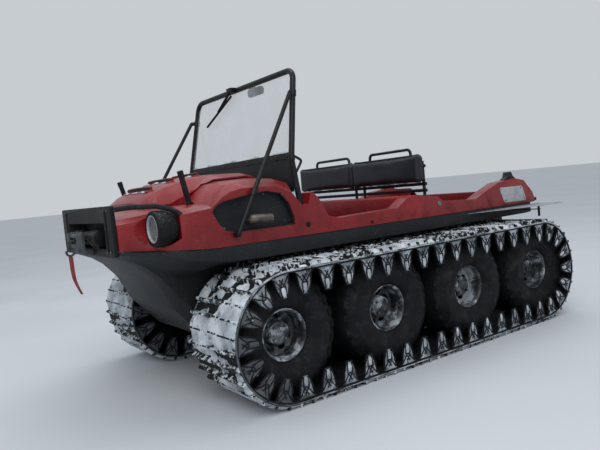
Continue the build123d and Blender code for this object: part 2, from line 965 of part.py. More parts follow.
# Braces from the frame's upper legs down to the sills
brace_r = 11.0
with BuildPart() as screen_braces:
    for s in (1, -1):
        add(
            tube_along(
                [
                    shifted(720, s * 603, 1519),
                    shifted(1140, s * 677, 838),
                ],
                brace_r,
            )
        )
        with BuildSketch(side(s * 686)):
            with Locations((1141, 836)):
                Circle(13)
        extrude(amount=s * (686 - 645.6))
save(screen_braces, "screen_braces")

# Seat backs, their tube frame with grab bars, and the bench
back_front_x = -160.0
back_rear_x = -222.0
back_low_z = 988.0
back_high_z = 1166.0
back_end_y = 627.0
back_gap = 5.0
with BuildPart() as seat_backs:
    with BuildSketch(across(back_rear_x)):
        with Locations(
            ((back_end_y + back_gap) / 2, (back_low_z + back_high_z) / 2),
            (-(back_end_y + back_gap) / 2, (back_low_z + back_high_z) / 2),
        ):
            RectangleRounded(back_end_y - back_gap, back_high_z - back_low_z, 26)
    extrude(amount=back_front_x - back_rear_x)
save(seat_backs, "seat_backs")

rail_r = 11.0
rail_x = back_rear_x - rail_r - 0.3
grab_r = 9.5
with BuildPart() as seat_frame:
    for s in (1, -1):
        add(
            tube_along(
                [
                    shifted(rail_x - 14, s * 110, 1072),
                    shifted(rail_x - 14, s * 110, 1202),
                    shifted(rail_x - 14, s * 490, 1202),
                    shifted(rail_x - 14, s * 490, 1072),
                ],
                grab_r,
                28,
            )
        )
        for y in (44, 596):
            add(
                tube_along(
                    [shifted(rail_x, s * y, 904.6), shifted(rail_x, s * y, 1120)],
                    rail_r - 1,
                )
            )
    for z in (940, 980, 1090):
        add(
            tube_along(
                [shifted(rail_x, -614, z), shifted(rail_x, 614, z)],
                rail_r,
            )
        )
save(seat_frame, "seat_frame")

with BuildPart() as bench_cushion:
    with BuildSketch(level(712)):
        with Locations((205, 0)):
            RectangleRounded(430, 1060, 40)
    extrude(amount=84)
save(bench_cushion, "bench_cushion")

# Stepped floor: footwell, bench base and load floor in one moulding
floor_y = hull_y - wall - 0.3
with BuildPart() as floor_pan:
    with BuildSketch(side(floor_y)):
        with BuildLine():
            Polyline(
                (905, 640),
                (735, 312),
                (450, 312),
                (430, 711.7),
                (-30, 711.7),
                (-50, 600),
                (-1190, 600),
                (-1190, 594),
                (-45, 594),
                (-25, 705.7),
                (424, 705.7),
                (444, 306),
                (739, 306),
                (911, 640),
                close=True,
            )
        make_face()
    extrude(amount=2 * floor_y)
save(floor_pan, "floor_pan")

with BuildPart() as engine_block:
    with BuildSketch(level(300)):
        with Locations((1055, 0)):
            Rectangle(250, 520)
    extrude(amount=460)
save(engine_block, "engine_block")

# Dash panel that closes the hood's rear end
with BuildPart() as dash_panel:
    with BuildSketch(across(dash_x + 2)):
        with Locations((0, 920)):
            Rectangle(1277.4, 400)
    extrude(amount=6)
    add(body_inner, mode=Mode.INTERSECT)
save(dash_panel, "dash_panel")

# Handlebar: column through a socket on the dash, cross bar and two grips
bar_y = -300.0
bar_z = 890.0
column_tilt = radians(35)
column_dir = (-cos(column_tilt), 0, sin(column_tilt))
socket_face_x = dash_x + 2


def on_column(reach, y=bar_y):
    return shifted(socket_face_x + reach * column_dir[0], y, bar_z + reach * column_dir[2])


with BuildPart() as steering_socket:
    with BuildSketch(Plane(origin=on_column(-60), x_dir=(0, 1, 0), z_dir=column_dir)):
        Circle(34)
        Circle(12.3, mode=Mode.SUBTRACT)
    extrude(amount=120)
    with Locations(at(socket_face_x, bar_y, bar_z)):
        Box(
            200,
            200,
            300,
            align=(Align.MIN, Align.CENTER, Align.CENTER),
            mode=Mode.SUBTRACT,
        )
save(steering_socket, "steering_socket")

bar_reach = 210.0
with BuildPart() as handlebar:
    add(tube_along([on_column(16), on_column(bar_reach)], 12))
    add(
        tube_along(
            [
                shifted(socket_face_x - 214, bar_y - 205, bar_z + 112),
                shifted(socket_face_x - 172, bar_y - 90, bar_z + 121),
                shifted(socket_face_x - 172, bar_y + 90, bar_z + 121),
                shifted(socket_face_x - 214, bar_y + 205, bar_z + 112),
            ],
            11,
            40,
        )
    )
save(handlebar, "handlebar")

# Hood lid: a domed panel over the engine opening
# x, edge y, crown y, crown z, middle z
lid_gap = 6.0
hood_rows = [
    (hood_front_x, 300, 240, 1024, 1034),
    (nose(1390), 330, 262, 1066, 1078),
    (nose(1320), 340, 275, 1096, 1108),
    (1200, hood_y, 284, 1126, 1138),
    (1075, hood_y, 285, 1142, 1150),
    (880, hood_y, 285, 1142, 1149),
    (hood_rear_x, hood_y, 285, 1126, 1132),
]


def deck_z(x):
    for front, back in zip(body_rows, body_rows[1:]):
        if back[0] <= x <= front[0]:
            share = (x - back[0]) / (front[0] - back[0])
            return back[7] + share * (front[7] - back[7])
    return body_rows[-1][7]



def hood_section(row, inset):
    x, ey, cy, cz, mz = row
    ez = deck_z(x) + lid_gap + 8
    if x == hood_front_x:
        x -= inset
    if x == hood_rear_x:
        x += inset
    points = [
        (ey - inset, ez - (30 if inset else 8)),
        (ey - inset, ez),
        (cy - inset * 0.5, cz - inset),
        (cy / 2, mz - inset),
    ]
    return [shifted(x, y, z) for y, z in mirrored(points)]


def hood_loft(inset):
    return skin([hood_section(row, inset) for row in hood_rows])


hinge_x = hood_rear_x - 9
hinge_z = deck_z(hinge_x) + 18
hinge_y = 215.0
pin_r = 5.0
ear_r = 7.5
vent_x = [nose(1365), 1240, 1090]
vent_y = 160.0
with BuildPart() as hood_lid:
    add(hood_loft(0))
    add(hood_loft(5), mode=Mode.SUBTRACT)
    add(body_outer.moved(Location((0, 0, lid_gap))), mode=Mode.SUBTRACT)
    for s in (1, -1):
        with BuildSketch(side(s * hinge_y + 15)):
            with Locations((hinge_x, hinge_z)):
                Circle(8.5)
            with Locations((hinge_x + 7, hinge_z + 3)):
                Rectangle(14, 8)
            with Locations((hinge_x, hinge_z)):
                Circle(pin_r + 0.3, mode=Mode.SUBTRACT)
        extrude(amount=30)
    # Vent slots across the lid
    with BuildSketch(level(1010)):
        for x in vent_x:
            with Locations((x, 0)):
                Rectangle(16, 2 * vent_y)
    extrude(amount=200, mode=Mode.SUBTRACT)
save(hood_lid, "hood_lid")

with BuildPart() as lid_hinges:
    for s in (1, -1):
        with BuildSketch(side(s * hinge_y + 25)):
            with Locations((hinge_x, hinge_z)):
                Circle(pin_r)
        extrude(amount=50)
        for y in (s * hinge_y + 25, s * hinge_y - 17):
            with BuildSketch(side(y)):
                with Locations((hinge_x, hinge_z)):
                    Circle(ear_r)
                with Locations((hinge_x, hinge_z - 18)):
                    Rectangle(2 * ear_r, 36)
            extrude(amount=8)
    add(body_outer, mode=Mode.SUBTRACT)
save(lid_hinges, "lid_hinges")

# Fittings on the windscreen frame: wiper, mirror and two grab loops
with BuildPart() as bar_clear:
    with BuildSketch(side(200)):
        with Locations((frame_top_x, frame_top_z)):
            Circle(frame_r + 0.3)
    extrude(amount=400)
leg_clear = tube_along(frame_path, frame_r + 0.35, 60)


def before_glass(z, ahead):
    """The x of a point that is so far ahead of the glass at height z."""
    return frame_knee_x - lean * (z - frame_knee_z) + ahead


with BuildPart() as wiper:
    with Locations(at(frame_top_x + 29, -60, frame_top_z)):
        Box(36, 56, 30)
    add(bar_clear.part, mode=Mode.SUBTRACT)
    add(
        tube_along(
            [
                shifted(frame_top_x + 40, -62, frame_top_z - 12),
                shifted(before_glass(1549, 34), -202, 1549),
            ],
            4,
        )
    )
    add(
        tube_along(
            [
                shifted(before_glass(1622, 30), -54, 1622),
                shifted(before_glass(1476, 30), -350, 1476),
            ],
            5.5,
        )
    )
save(wiper, "wiper")

with BuildPart() as mirror_shell:
    with BuildSketch(across(frame_top_x - 56)):
        with Locations((100, frame_top_z - 34)):
            RectangleRounded(156, 46, 16)
    extrude(amount=20)
    with Locations(at(frame_top_x - 24, 100, frame_top_z - 12)):
        Box(40, 18, 14)
    add(bar_clear.part, mode=Mode.SUBTRACT)
save(mirror_shell, "mirror_shell")

with BuildPart() as grab_loops:
    for s in (1, -1):
        add(
            tube_along(
                [
                    shifted(frame_knee_x - 6, s * frame_low_y, 1204),
                    shifted(frame_knee_x - 66, s * frame_low_y, 1172),
                    shifted(frame_knee_x - 12, s * frame_low_y, 1098),
                ],
                7,
                14,
            )
        )
    add(leg_clear, mode=Mode.SUBTRACT)
save(grab_loops, "grab_loops")


def rim_z(x):
    """Height of the rear body's upper edge at x."""
    for ahead, behind in zip(side_line, side_line[1:]):
        if behind[0] <= x <= ahead[0]:
            share = (x - behind[0]) / (ahead[0] - behind[0])
            return behind[1] + share * (ahead[1] - behind[1])
    return side_line[-1][1]


# Cleats on the rear corners, and round caps on the flanks
cleat_x = -1069.0
with BuildPart() as rear_cleats:
    for y in (622, -582):
        with BuildSketch(side(y)):
            with BuildLine():
                Polyline(
                    (cleat_x + 80, rim_z(cleat_x + 80)),
                    (cleat_x, rim_z(cleat_x)),
                    (cleat_x - 68, rim_z(cleat_x - 68)),
                    (cleat_x - 24, rim_z(cleat_x) + 18),
                    (cleat_x - 10, rim_z(cleat_x) + 46),
                    (cleat_x + 30, rim_z(cleat_x) + 46),
                    (cleat_x + 42, rim_z(cleat_x) + 14),
                    close=True,
                )
            make_face()
        extrude(amount=40)
save(rear_cleats, "rear_cleats")

cap_places = [(-296, 850, 16), (265, 799, 9), (709, 837, 14)]
with BuildPart() as side_caps:
    for y in (side_y + 5, -side_y):
        with BuildSketch(side(y)):
            for x, z, r in cap_places:
                with Locations((x, z)):
                    RegularPolygon(r, tube_sides)
        extrude(amount=5)
save(side_caps, "side_caps")

# Rear: lip, fender plates and hitch
with BuildPart() as rear_lip:
    with BuildSketch(level(seam(body_rear_x) + 2)):
        with Locations((body_rear_x - 23, 0)):
            RectangleRounded(46, 1280, 12)
    extrude(amount=24)
save(rear_lip, "rear_lip")

with BuildPart() as fender_plate_left:
    with BuildSketch(level(757)):
        with BuildLine():
            Polyline(
                (-560, lip_y + 0.3),
                (-1050, 850),
                (-1316, 850),
                (-1330, lip_y + 0.3),
                close=True,
            )
        make_face()
    extrude(amount=3)
save(fender_plate_left, "fender_plate_left")
plate_twin = mirror(fender_plate_left.part, about=Plane.XZ)
with BuildPart() as fender_plate_right:
    add(plate_twin)
save(fender_plate_right, "fender_plate_right")

# Stays under the fender plates
stay_x = -1040.0
with BuildPart() as plate_stays:
    for y in (846, -lip_y - 0.3):
        with BuildSketch(side(y)):
            with Locations((stay_x, 738)):
                Rectangle(24, 5)
        extrude(amount=846 - lip_y - 0.3)
    for s in (1, -1):
        for x in (stay_x - 7, stay_x + 7):
            add(tube_along([shifted(x, s * 838, 692), shifted(x, s * 838, 756.7)], 4))
save(plate_stays, "plate_stays")

with BuildPart() as hitch:
    with BuildSketch(across(-1240)):
        with Locations((0, 640)):
            RectangleRounded(140, 110, 8)
    extrude(amount=-8)
    with BuildSketch(level(620)):
        with Locations((-1290, 0)):
            Rectangle(90, 80)
        with Locations((-1305, 0)):
            Circle(13, mode=Mode.SUBTRACT)
    extrude(amount=10)
save(hitch, "hitch")
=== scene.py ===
import json
from math import cos, hypot, pi, radians, sin

import bmesh
import bpy
from mathutils import Matrix, Vector, noise
from mathutils.bvhtree import BVHTree

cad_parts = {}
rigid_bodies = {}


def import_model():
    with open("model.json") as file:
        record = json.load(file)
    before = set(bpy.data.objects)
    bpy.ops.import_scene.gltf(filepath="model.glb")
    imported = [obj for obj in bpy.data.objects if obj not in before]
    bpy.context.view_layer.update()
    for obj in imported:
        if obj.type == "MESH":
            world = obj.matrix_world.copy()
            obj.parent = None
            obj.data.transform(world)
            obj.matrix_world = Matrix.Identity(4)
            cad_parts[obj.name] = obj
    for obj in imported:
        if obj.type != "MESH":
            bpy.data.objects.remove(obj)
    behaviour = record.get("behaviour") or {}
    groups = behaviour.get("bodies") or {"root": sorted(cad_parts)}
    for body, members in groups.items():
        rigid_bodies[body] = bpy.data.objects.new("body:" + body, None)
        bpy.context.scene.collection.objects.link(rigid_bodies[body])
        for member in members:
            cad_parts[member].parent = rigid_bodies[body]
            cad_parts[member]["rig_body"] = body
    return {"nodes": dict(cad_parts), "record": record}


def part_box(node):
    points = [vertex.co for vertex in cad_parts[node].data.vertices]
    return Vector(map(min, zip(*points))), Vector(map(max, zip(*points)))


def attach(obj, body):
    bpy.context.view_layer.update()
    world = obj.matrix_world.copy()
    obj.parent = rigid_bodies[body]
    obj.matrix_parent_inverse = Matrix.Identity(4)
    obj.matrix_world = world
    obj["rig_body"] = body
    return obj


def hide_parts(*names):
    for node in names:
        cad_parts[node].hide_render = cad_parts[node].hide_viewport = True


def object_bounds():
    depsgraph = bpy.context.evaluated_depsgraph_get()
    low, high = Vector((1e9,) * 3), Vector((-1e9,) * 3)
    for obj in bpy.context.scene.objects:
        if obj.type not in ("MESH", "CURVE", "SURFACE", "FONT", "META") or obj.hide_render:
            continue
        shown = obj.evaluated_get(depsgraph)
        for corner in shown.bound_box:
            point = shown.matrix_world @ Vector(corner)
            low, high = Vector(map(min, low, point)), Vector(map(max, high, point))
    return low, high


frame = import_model()
cad_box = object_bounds()
nodes = frame["nodes"]

# Sizes in metres, in the file's own frame: +X forward, +Y left, +Z up, ground at z = 0
middle_x = -0.211
axle_pitch = 0.673
axle_x = [middle_x + axle_pitch * (i - 1.5) for i in range(4)]
loop_half = axle_pitch * 1.5
tyre_r = 0.304
belt_gap = 0.0003
belt_in_r = 0.3043
belt_t = 0.009
lug_h = 0.024
lug_top = belt_t + lug_h
wheel_z = tyre_r + belt_gap + belt_t + lug_h
track_in_y = 0.424
track_out_y = 0.878
track_mid_y = (track_in_y + track_out_y) / 2
tyre_in_y = 0.534
tyre_out_y = 0.830
shoe_count = 44
first_shoe = 0.36
front_arc = pi * belt_in_r
straight = 2 * loop_half
top_run_start = 2 * front_arc + straight
loop_length = 4 * loop_half + 2 * pi * belt_in_r
pitch = loop_length / shoe_count
finger_reach = 0.118
finger_t = 0.013
up = Vector((0, 0, 1))


def at(x, y, z):
    """A place given in millimetres from the middle of the four axles."""
    return Vector((middle_x + x / 1000, y / 1000, z / 1000))


def turns(count, first=0.0):
    """Cosine and sine at even steps round a circle."""
    angles = [2 * pi * step / count + first for step in range(count)]
    return [(cos(angle), sin(angle)) for angle in angles]


def on_loop(travel, r):
    """x and z at distance r round the wheels, travel along the loop from the front wheel's top."""
    travel = travel % loop_length
    if travel < front_arc:
        turn = pi / 2 - travel / belt_in_r
        return middle_x + loop_half + r * cos(turn), wheel_z + r * sin(turn)
    if travel < front_arc + straight:
        return middle_x + loop_half + front_arc - travel, wheel_z - r
    if travel < top_run_start:
        turn = -pi / 2 - (travel - front_arc - straight) / belt_in_r
        return middle_x - loop_half + r * cos(turn), wheel_z + r * sin(turn)
    return middle_x + travel - 2 * front_arc - straight - loop_half, wheel_z + r


# ---------------------------------------------------------------- shader helpers


def forms(operation):
    """An operator's plain form and its reflected one."""
    return (
        lambda value, other: value.maths(operation, value, other),
        lambda value, other: value.maths(operation, other, value),
    )


class Value:
    """One output of a material's node tree, with arithmetic on it."""

    def __init__(self, finish, socket):
        self.finish = finish
        self.socket = socket

    def maths(self, operation, first, second, clamp=False):
        node = self.finish.tree.nodes.new("ShaderNodeMath")
        node.operation = operation
        node.use_clamp = clamp
        self.finish.link(first, node.inputs[0])
        self.finish.link(second, node.inputs[1])
        return Value(self.finish, node.outputs[0])

    __add__, __radd__ = forms("ADD")
    __sub__, __rsub__ = forms("SUBTRACT")
    __mul__, __rmul__ = forms("MULTIPLY")
    __truediv__, __rtruediv__ = forms("DIVIDE")

    def held(self):
        """The value kept between 0 and 1."""
        return self.maths("ADD", self, 0.0, clamp=True)

    def most(self, other):
        return self.maths("MAXIMUM", self, other)

    def ramp(self, low, high):
        """0 below low, 1 above high, smooth between."""
        return self.finish.node(
            "ShaderNodeMapRange",
            {"interpolation_type": "SMOOTHSTEP", "clamp": True},
            {"Value": self, "From Min": low, "From Max": high},
        )["Result"]


class Outputs:
    """The enabled outputs of a node, by name."""

    def __init__(self, finish, node):
        self.finish = finish
        self.node = node

    def __getitem__(self, name):
        for socket in self.node.outputs:
            if socket.name == name and socket.enabled:
                return Value(self.finish, socket)
        raise KeyError(name)


class Finish:
    """A material: its tree, its shader and the inputs that vary over the surface."""

    def __init__(self, name):
        self.material = bpy.data.materials.new(name)
        self.material.use_nodes = True
        self.tree = self.material.node_tree
        self.shader = self.tree.nodes["Principled BSDF"]
        self.place = self.node("ShaderNodeTexCoord", {}, {})["Object"]
        self.facing = self.node("ShaderNodeNewGeometry", {}, {})["Normal"]

    def link(self, value, socket):
        if isinstance(value, Value):
            self.tree.links.new(value.socket, socket)
        else:
            socket.default_value = value

    def node(self, kind, settings, values):
        node = self.tree.nodes.new(kind)
        for name, setting in settings.items():
            setattr(node, name, setting)
        for name, value in values.items():
            self.link(value, [s for s in node.inputs if s.name == name and s.enabled][0])
        return Outputs(self, node)

    def noise(self, scale, detail=3.0, roughness=0.55, stretch=None, seed=0.0):
        where = self.place
        if stretch is not None or seed:
            where = self.node(
                "ShaderNodeMapping",
                {},
                {
                    "Vector": self.place,
                    "Scale": stretch or (1.0, 1.0, 1.0),
                    "Location": (seed, seed * 0.7, -seed),
                },
            )["Vector"]
        return self.node(
            "ShaderNodeTexNoise",
            {},
            {"Vector": where, "Scale": scale, "Detail": detail, "Roughness": roughness},
        )["Fac"]

    def cells(self, scale, feature="F1"):
        return self.node(
            "ShaderNodeTexVoronoi", {"feature": feature}, {"Vector": self.place, "Scale": scale}
        )["Distance"]

    def bands(self, direction, scale, distortion, detail):
        return self.node(
            "ShaderNodeTexWave",
            {"wave_type": "BANDS", "bands_direction": direction},
            {"Vector": self.place, "Scale": scale, "Distortion": distortion, "Detail": detail},
        )["Fac"]

    def axis(self, letter):
        return self.node("ShaderNodeSeparateXYZ", {}, {"Vector": self.place})[letter]

    def upward(self):
        return self.node("ShaderNodeSeparateXYZ", {}, {"Vector": self.facing})["Z"]

    def mix(self, share, low, high):
        """Colours low and high, mixed by share."""
        return self.node(
            "ShaderNodeMix",
            {"data_type": "RGBA", "blend_type": "MIX"},
            {"Factor": share, "A": low, "B": high},
        )["Result"]

    def colour(self, value):
        self.link(value, self.shader.inputs["Base Color"])

    def set(self, **values):
        for name, value in values.items():
            self.link(value, self.shader.inputs[name.replace("_", " ").title()])

    def sheen(self, level):
        self.shader.inputs["Specular IOR Level"].default_value = level

    def snowed(self, base, amount, seed):
        """Lays wind-blown snow on the base colour, mostly on what faces up. Gives its share."""
        flakes = self.noise(190.0, 2.0, 0.6, seed=seed).ramp(0.60, 0.72)
        patches = self.noise(7.0, 4.0, 0.6, seed=seed + 1).ramp(0.42, 0.66)
        level = self.upward().ramp(0.1, 0.9)
        share = (flakes * patches * (0.25 + level * 0.75) * amount).held()
        self.colour(self.mix(share, base, snow_white))
        return share

    def relief(self, height, depth, strength):
        """Bump from a height between 0 and 1 that is depth metres deep."""
        values = {"Height": height, "Distance": depth, "Strength": strength}
        bump = self.node("ShaderNodeBump", {}, values)
        self.link(bump["Normal"], self.shader.inputs["Normal"])


def rgb(red, green, blue):
    """A colour as it looks on a screen, 0 to 255, turned into the linear one."""
    linear = []
    for part in (red, green, blue):
        share = part / 255
        linear.append(share / 12.92 if share <= 0.04045 else ((share + 0.055) / 1.055) ** 2.4)
    return (*linear, 1.0)


snow_white = rgb(196, 203, 208)
snow_grey = rgb(142, 149, 155)
mud_grey = rgb(74, 74, 73)


# ---------------------------------------------------------------- finishes


def moulded_red():
    """Worn red plastic: faded, scratched, grimy low down and dusted with snow."""
    f = Finish("moulded_red")
    fade = f.noise(2.3, 3.0, 0.5)
    fine = f.noise(38.0, 4.0, 0.6, seed=2.0)
    base = f.mix(fade.ramp(0.35, 0.7), rgb(112, 6, 12), rgb(138, 12, 19))
    base = f.mix((fine.ramp(0.45, 0.75) * 0.3).held(), base, rgb(92, 8, 13))
    low = f.axis("Z").ramp(0.93, 0.80)
    grime = (f.noise(11.0, 5.0, 0.65, seed=5.0).ramp(0.42, 0.7) * (0.2 + low * 0.8)).held()
    base = f.mix((grime * 0.5).held(), base, rgb(62, 16, 18))
    scratch = f.noise(30.0, 2.0, 0.5, stretch=(1.0, 12.0, 14.0), seed=7.0).ramp(0.67, 0.71)
    base = f.mix((scratch * 0.18).held(), base, rgb(160, 62, 62))
    snow = f.snowed(base, 0.55, 3.0)
    f.set(
        roughness=(0.34 + grime * 0.30 + snow * 0.3 + fine * 0.08).held(),
        coat_weight=(0.22 - grime * 0.2).held(),
        coat_roughness=0.2,
    )
    f.sheen(0.35)
    f.relief(f.noise(60.0, 3.0, 0.5) * 0.6 + scratch * 0.25, 0.0006, 0.5)
    return f.material


def moulded_black():
    """Grained black plastic, splashed low down, scuffed and dusted with snow."""
    f = Finish("moulded_black")
    broad = f.noise(4.0, 4.0, 0.55)
    base = f.mix(broad.ramp(0.35, 0.7), rgb(17, 19, 22), rgb(27, 30, 34))
    low = f.axis("Z").ramp(0.85, 0.25)
    splash = (f.noise(16.0, 6.0, 0.7, seed=4.0).ramp(0.54, 0.74) * (0.1 + low * 0.9)).held()
    base = f.mix((splash * 0.35).held(), base, mud_grey)
    scuff = f.noise(22.0, 3.0, 0.6, stretch=(1.0, 6.0, 16.0), seed=8.0).ramp(0.65, 0.72)
    base = f.mix((scuff * 0.25).held(), base, rgb(78, 82, 88))
    snow = f.snowed(base, 0.6, 9.0)
    f.set(roughness=(0.46 + broad * 0.2 + snow * 0.3).held())
    f.sheen(0.28)
    f.relief(f.noise(900.0, 2.0, 0.5) * 0.6 + scuff * 0.3, 0.0005, 0.6)
    return f.material


def coated_steel(name, light, dark, rough):
    """Coated steel with a few chips."""
    f = Finish(name)
    broad = f.noise(9.0, 4.0, 0.6)
    base = f.mix(broad.ramp(0.35, 0.7), dark, light)
    spots = f.noise(12.0, 3.0, 0.5, seed=3.0).ramp(0.58, 0.70)
    chips = f.cells(70.0).ramp(0.14, 0.07) * spots
    base = f.mix((chips * 0.6).held(), base, rgb(104, 92, 84))
    snow = f.snowed(base, 0.55, 12.0)
    f.set(roughness=(rough + broad * 0.18 + snow * 0.3).held(), metallic=(chips * 0.5).held())
    f.sheen(0.25)
    f.relief(f.noise(420.0, 3.0, 0.55) * 0.5 - chips * 0.5, 0.0004, 0.55)
    return f.material


def bare_metal(name, light, dark, rough, snow_amount, shine=0.9):
    """Dull stained metal."""
    f = Finish(name)
    broad = f.noise(14.0, 5.0, 0.6)
    base = f.mix(broad.ramp(0.3, 0.75), dark, light)
    stain = f.noise(30.0, 4.0, 0.65, seed=6.0).ramp(0.55, 0.75)
    base = f.mix((stain * 0.5).held(), base, mud_grey)
    snow = f.snowed(base, snow_amount, 15.0)
    f.set(
        metallic=(shine - stain * 0.45 - snow * 0.8).held(),
        roughness=(rough + broad * 0.25 + stain * 0.2).held(),
    )
    f.relief(f.noise(260.0, 3.0, 0.6) * 0.5 + stain * 0.2, 0.0005, 0.55)
    return f.material


def rim_steel():
    """Painted wheel steel with snow frozen on in large patches."""
    f = Finish("rim_steel")
    broad = f.noise(14.0, 5.0, 0.6)
    base = f.mix(broad.ramp(0.3, 0.75), rgb(62, 66, 70), rgb(104, 109, 114))
    patch = f.noise(11.0, 4.0, 0.55, seed=21.0)
    ragged = f.noise(60.0, 4.0, 0.6, seed=22.0)
    spread = patch * 0.8 + ragged * 0.2
    base = f.mix((spread.ramp(0.50, 0.44) * 0.9).held(), base, rgb(30, 32, 35))
    ice = spread.ramp(0.52, 0.57)
    f.colour(f.mix((ice * 0.85).held(), base, rgb(158, 165, 172)))
    f.set(metallic=(0.3 - ice * 0.3).held(), roughness=(0.4 + ice * 0.25 + broad * 0.1).held())
    f.relief(f.noise(200.0, 3.0, 0.6) * 0.3 + ice * 0.7, 0.0012, 0.6)
    return f.material


def rubber(name, tone, snow_amount, low=0.62):
    """Dark rubber with snow caked on where its noise passes low."""
    f = Finish(name)
    broad = f.noise(12.0, 4.0, 0.6)
    dark = rgb(tone - 5, tone - 4, tone - 1)
    light = rgb(tone + 8, tone + 10, tone + 14)
    base = f.mix(broad.ramp(0.35, 0.7), dark, light)
    wet = f.noise(26.0, 5.0, 0.65, seed=5.0).ramp(0.5, 0.68)
    base = f.mix((wet * 0.10).held(), base, mud_grey)
    caked = (f.noise(34.0, 5.0, 0.7, seed=2.0).ramp(low, low + 0.06) * snow_amount).held()
    f.colour(f.mix(caked, base, snow_white))
    f.set(roughness=(0.74 - wet * 0.2 + caked * 0.2).held())
    f.sheen(0.22)
    f.relief(f.noise(320.0, 3.0, 0.6) * 0.4 + caked * 0.6, 0.0012, 0.6)
    return f.material


def sheltered(finish):
    """Share of snow kept: little on the front wheel's arc, where the fingers rub it off."""
    front_x, rear_x = middle_x + loop_half, middle_x - loop_half
    ahead = finish.axis("X").ramp(front_x + 0.06, front_x - 0.06)
    above = finish.axis("Z").ramp(wheel_z + 0.10, wheel_z + 0.24)
    patch = finish.noise(9.0, 2.0, 0.5, seed=51.0).ramp(0.44, 0.60)
    behind = finish.axis("X").ramp(rear_x + 0.08, rear_x - 0.08)
    share = ahead.most(above).most(0.12)
    return (share * (0.45 + patch * 0.55 + behind * 0.5)).held()


def frosted_rubber():
    """Rubber under a skin of frost, grey with dark and white patches."""
    f = Finish("frosted_rubber")
    kept = sheltered(f)
    broad = f.noise(16.0, 5.0, 0.62, seed=31.0)
    fine = f.noise(90.0, 4.0, 0.65, seed=32.0)
    share = broad * 0.6 + fine * 0.4
    rime = (share.ramp(0.36, 0.48) * (0.3 + kept * 0.7)).held()
    base = f.mix(rime, rgb(24, 26, 29), rgb(112, 118, 124))
    f.colour(f.mix((share.ramp(0.45, 0.56) * kept).held(), base, rgb(166, 173, 180)))
    f.set(roughness=(0.7 + share * 0.2).held())
    f.sheen(0.25)
    f.relief(share, 0.003, 0.7)
    return f.material


def packed_snow(name, rubbed):
    """Dirty snow, worn off on the front wheel's arc if it is rubbed."""
    f = Finish(name)
    lumps = f.noise(46.0, 5.0, 0.62)
    tint = f.noise(9.0, 4.0, 0.6, seed=4.0)
    base = f.mix(tint.ramp(0.35, 0.68), snow_grey, snow_white)
    dirt = f.noise(17.0, 5.0, 0.7, seed=8.0).ramp(0.53, 0.68)
    base = f.mix((dirt * (0.35 if rubbed else 0.8)).held(), base, rgb(54, 57, 61))
    if rubbed:
        base = f.mix((sheltered(f) * 1.5).held(), rgb(34, 36, 39), base)
    f.colour(base)
    f.set(roughness=(0.62 + lumps * 0.25).held())
    f.relief(lumps * 0.8 + f.noise(210.0, 3.0, 0.6) * 0.25, 0.004, 0.7)
    return f.material


def vinyl():
    f = Finish("seat_vinyl_finish")
    broad = f.noise(6.0, 3.0, 0.5)
    base = f.mix(broad.ramp(0.35, 0.7), rgb(22, 24, 30), rgb(38, 42, 50))
    snow = f.snowed(base, 0.5, 18.0)
    grain = f.cells(520.0, "SMOOTH_F1").ramp(0.0, 0.9)
    f.set(roughness=(0.42 + broad * 0.14 + snow * 0.3).held())
    f.sheen(0.35)
    f.relief(grain * 0.5 + f.noise(30.0, 3.0, 0.5) * 0.5, 0.0007, 0.7)
    return f.material


def webbing():
    f = Finish("red_webbing")
    weave = f.bands("Z", 160.0, 0.6, 1.0)
    wear = f.noise(24.0, 4.0, 0.6)
    base = f.mix(wear.ramp(0.35, 0.7), rgb(118, 40, 44), rgb(150, 58, 61))
    f.colour(f.mix((weave * 0.35).held(), base, rgb(96, 24, 28)))
    f.set(roughness=(0.78 + wear * 0.1).held())
    f.relief(weave, 0.0008, 0.8)
    return f.material


def clear_sheet():
    """A clear screen with smears and drops."""
    f = Finish("clear_sheet")
    smear = f.noise(7.0, 5.0, 0.6)
    drops = f.cells(60.0).ramp(0.13, 0.05) * f.noise(5.0, 3.0, 0.6, seed=2.0).ramp(0.5, 0.7)
    f.colour(f.mix(smear.ramp(0.4, 0.75), rgb(176, 184, 190), rgb(208, 214, 219)))
    haze = 0.20 + smear.ramp(0.45, 0.8) * 0.16 + drops * 0.4
    f.set(roughness=(0.08 + smear * 0.12).held(), alpha=haze.held())
    f.relief(f.noise(3.0, 2.0, 0.5), 0.002, 0.2)
    return f.material


def lamp_glass():
    """A ribbed lens under a film of dirt."""
    f = Finish("lamp_glass_finish")
    ribs = f.bands("Y", 38.0, 0.0, 2.0)
    film = f.noise(40.0, 4.0, 0.6)
    f.colour(f.mix(film.ramp(0.4, 0.7), rgb(80, 85, 89), rgb(140, 146, 150)))
    f.set(
        roughness=(0.08 + film * 0.2).held(),
        alpha=(0.16 + film.ramp(0.5, 0.75) * 0.16).held(),
    )
    f.relief(ribs, 0.0012, 0.6)
    return f.material


def plain_paint(name, light, dark, rough):
    """A blank painted or moulded face with a little grime."""
    f = Finish(name)
    grime = f.noise(30.0, 5.0, 0.65, seed=41.0).ramp(0.45, 0.75)
    f.colour(f.mix((grime * 0.6).held(), light, dark))
    f.set(roughness=(rough + grime * 0.2).held())
    f.relief(f.noise(240.0, 3.0, 0.5), 0.0003, 0.4)
    return f.material


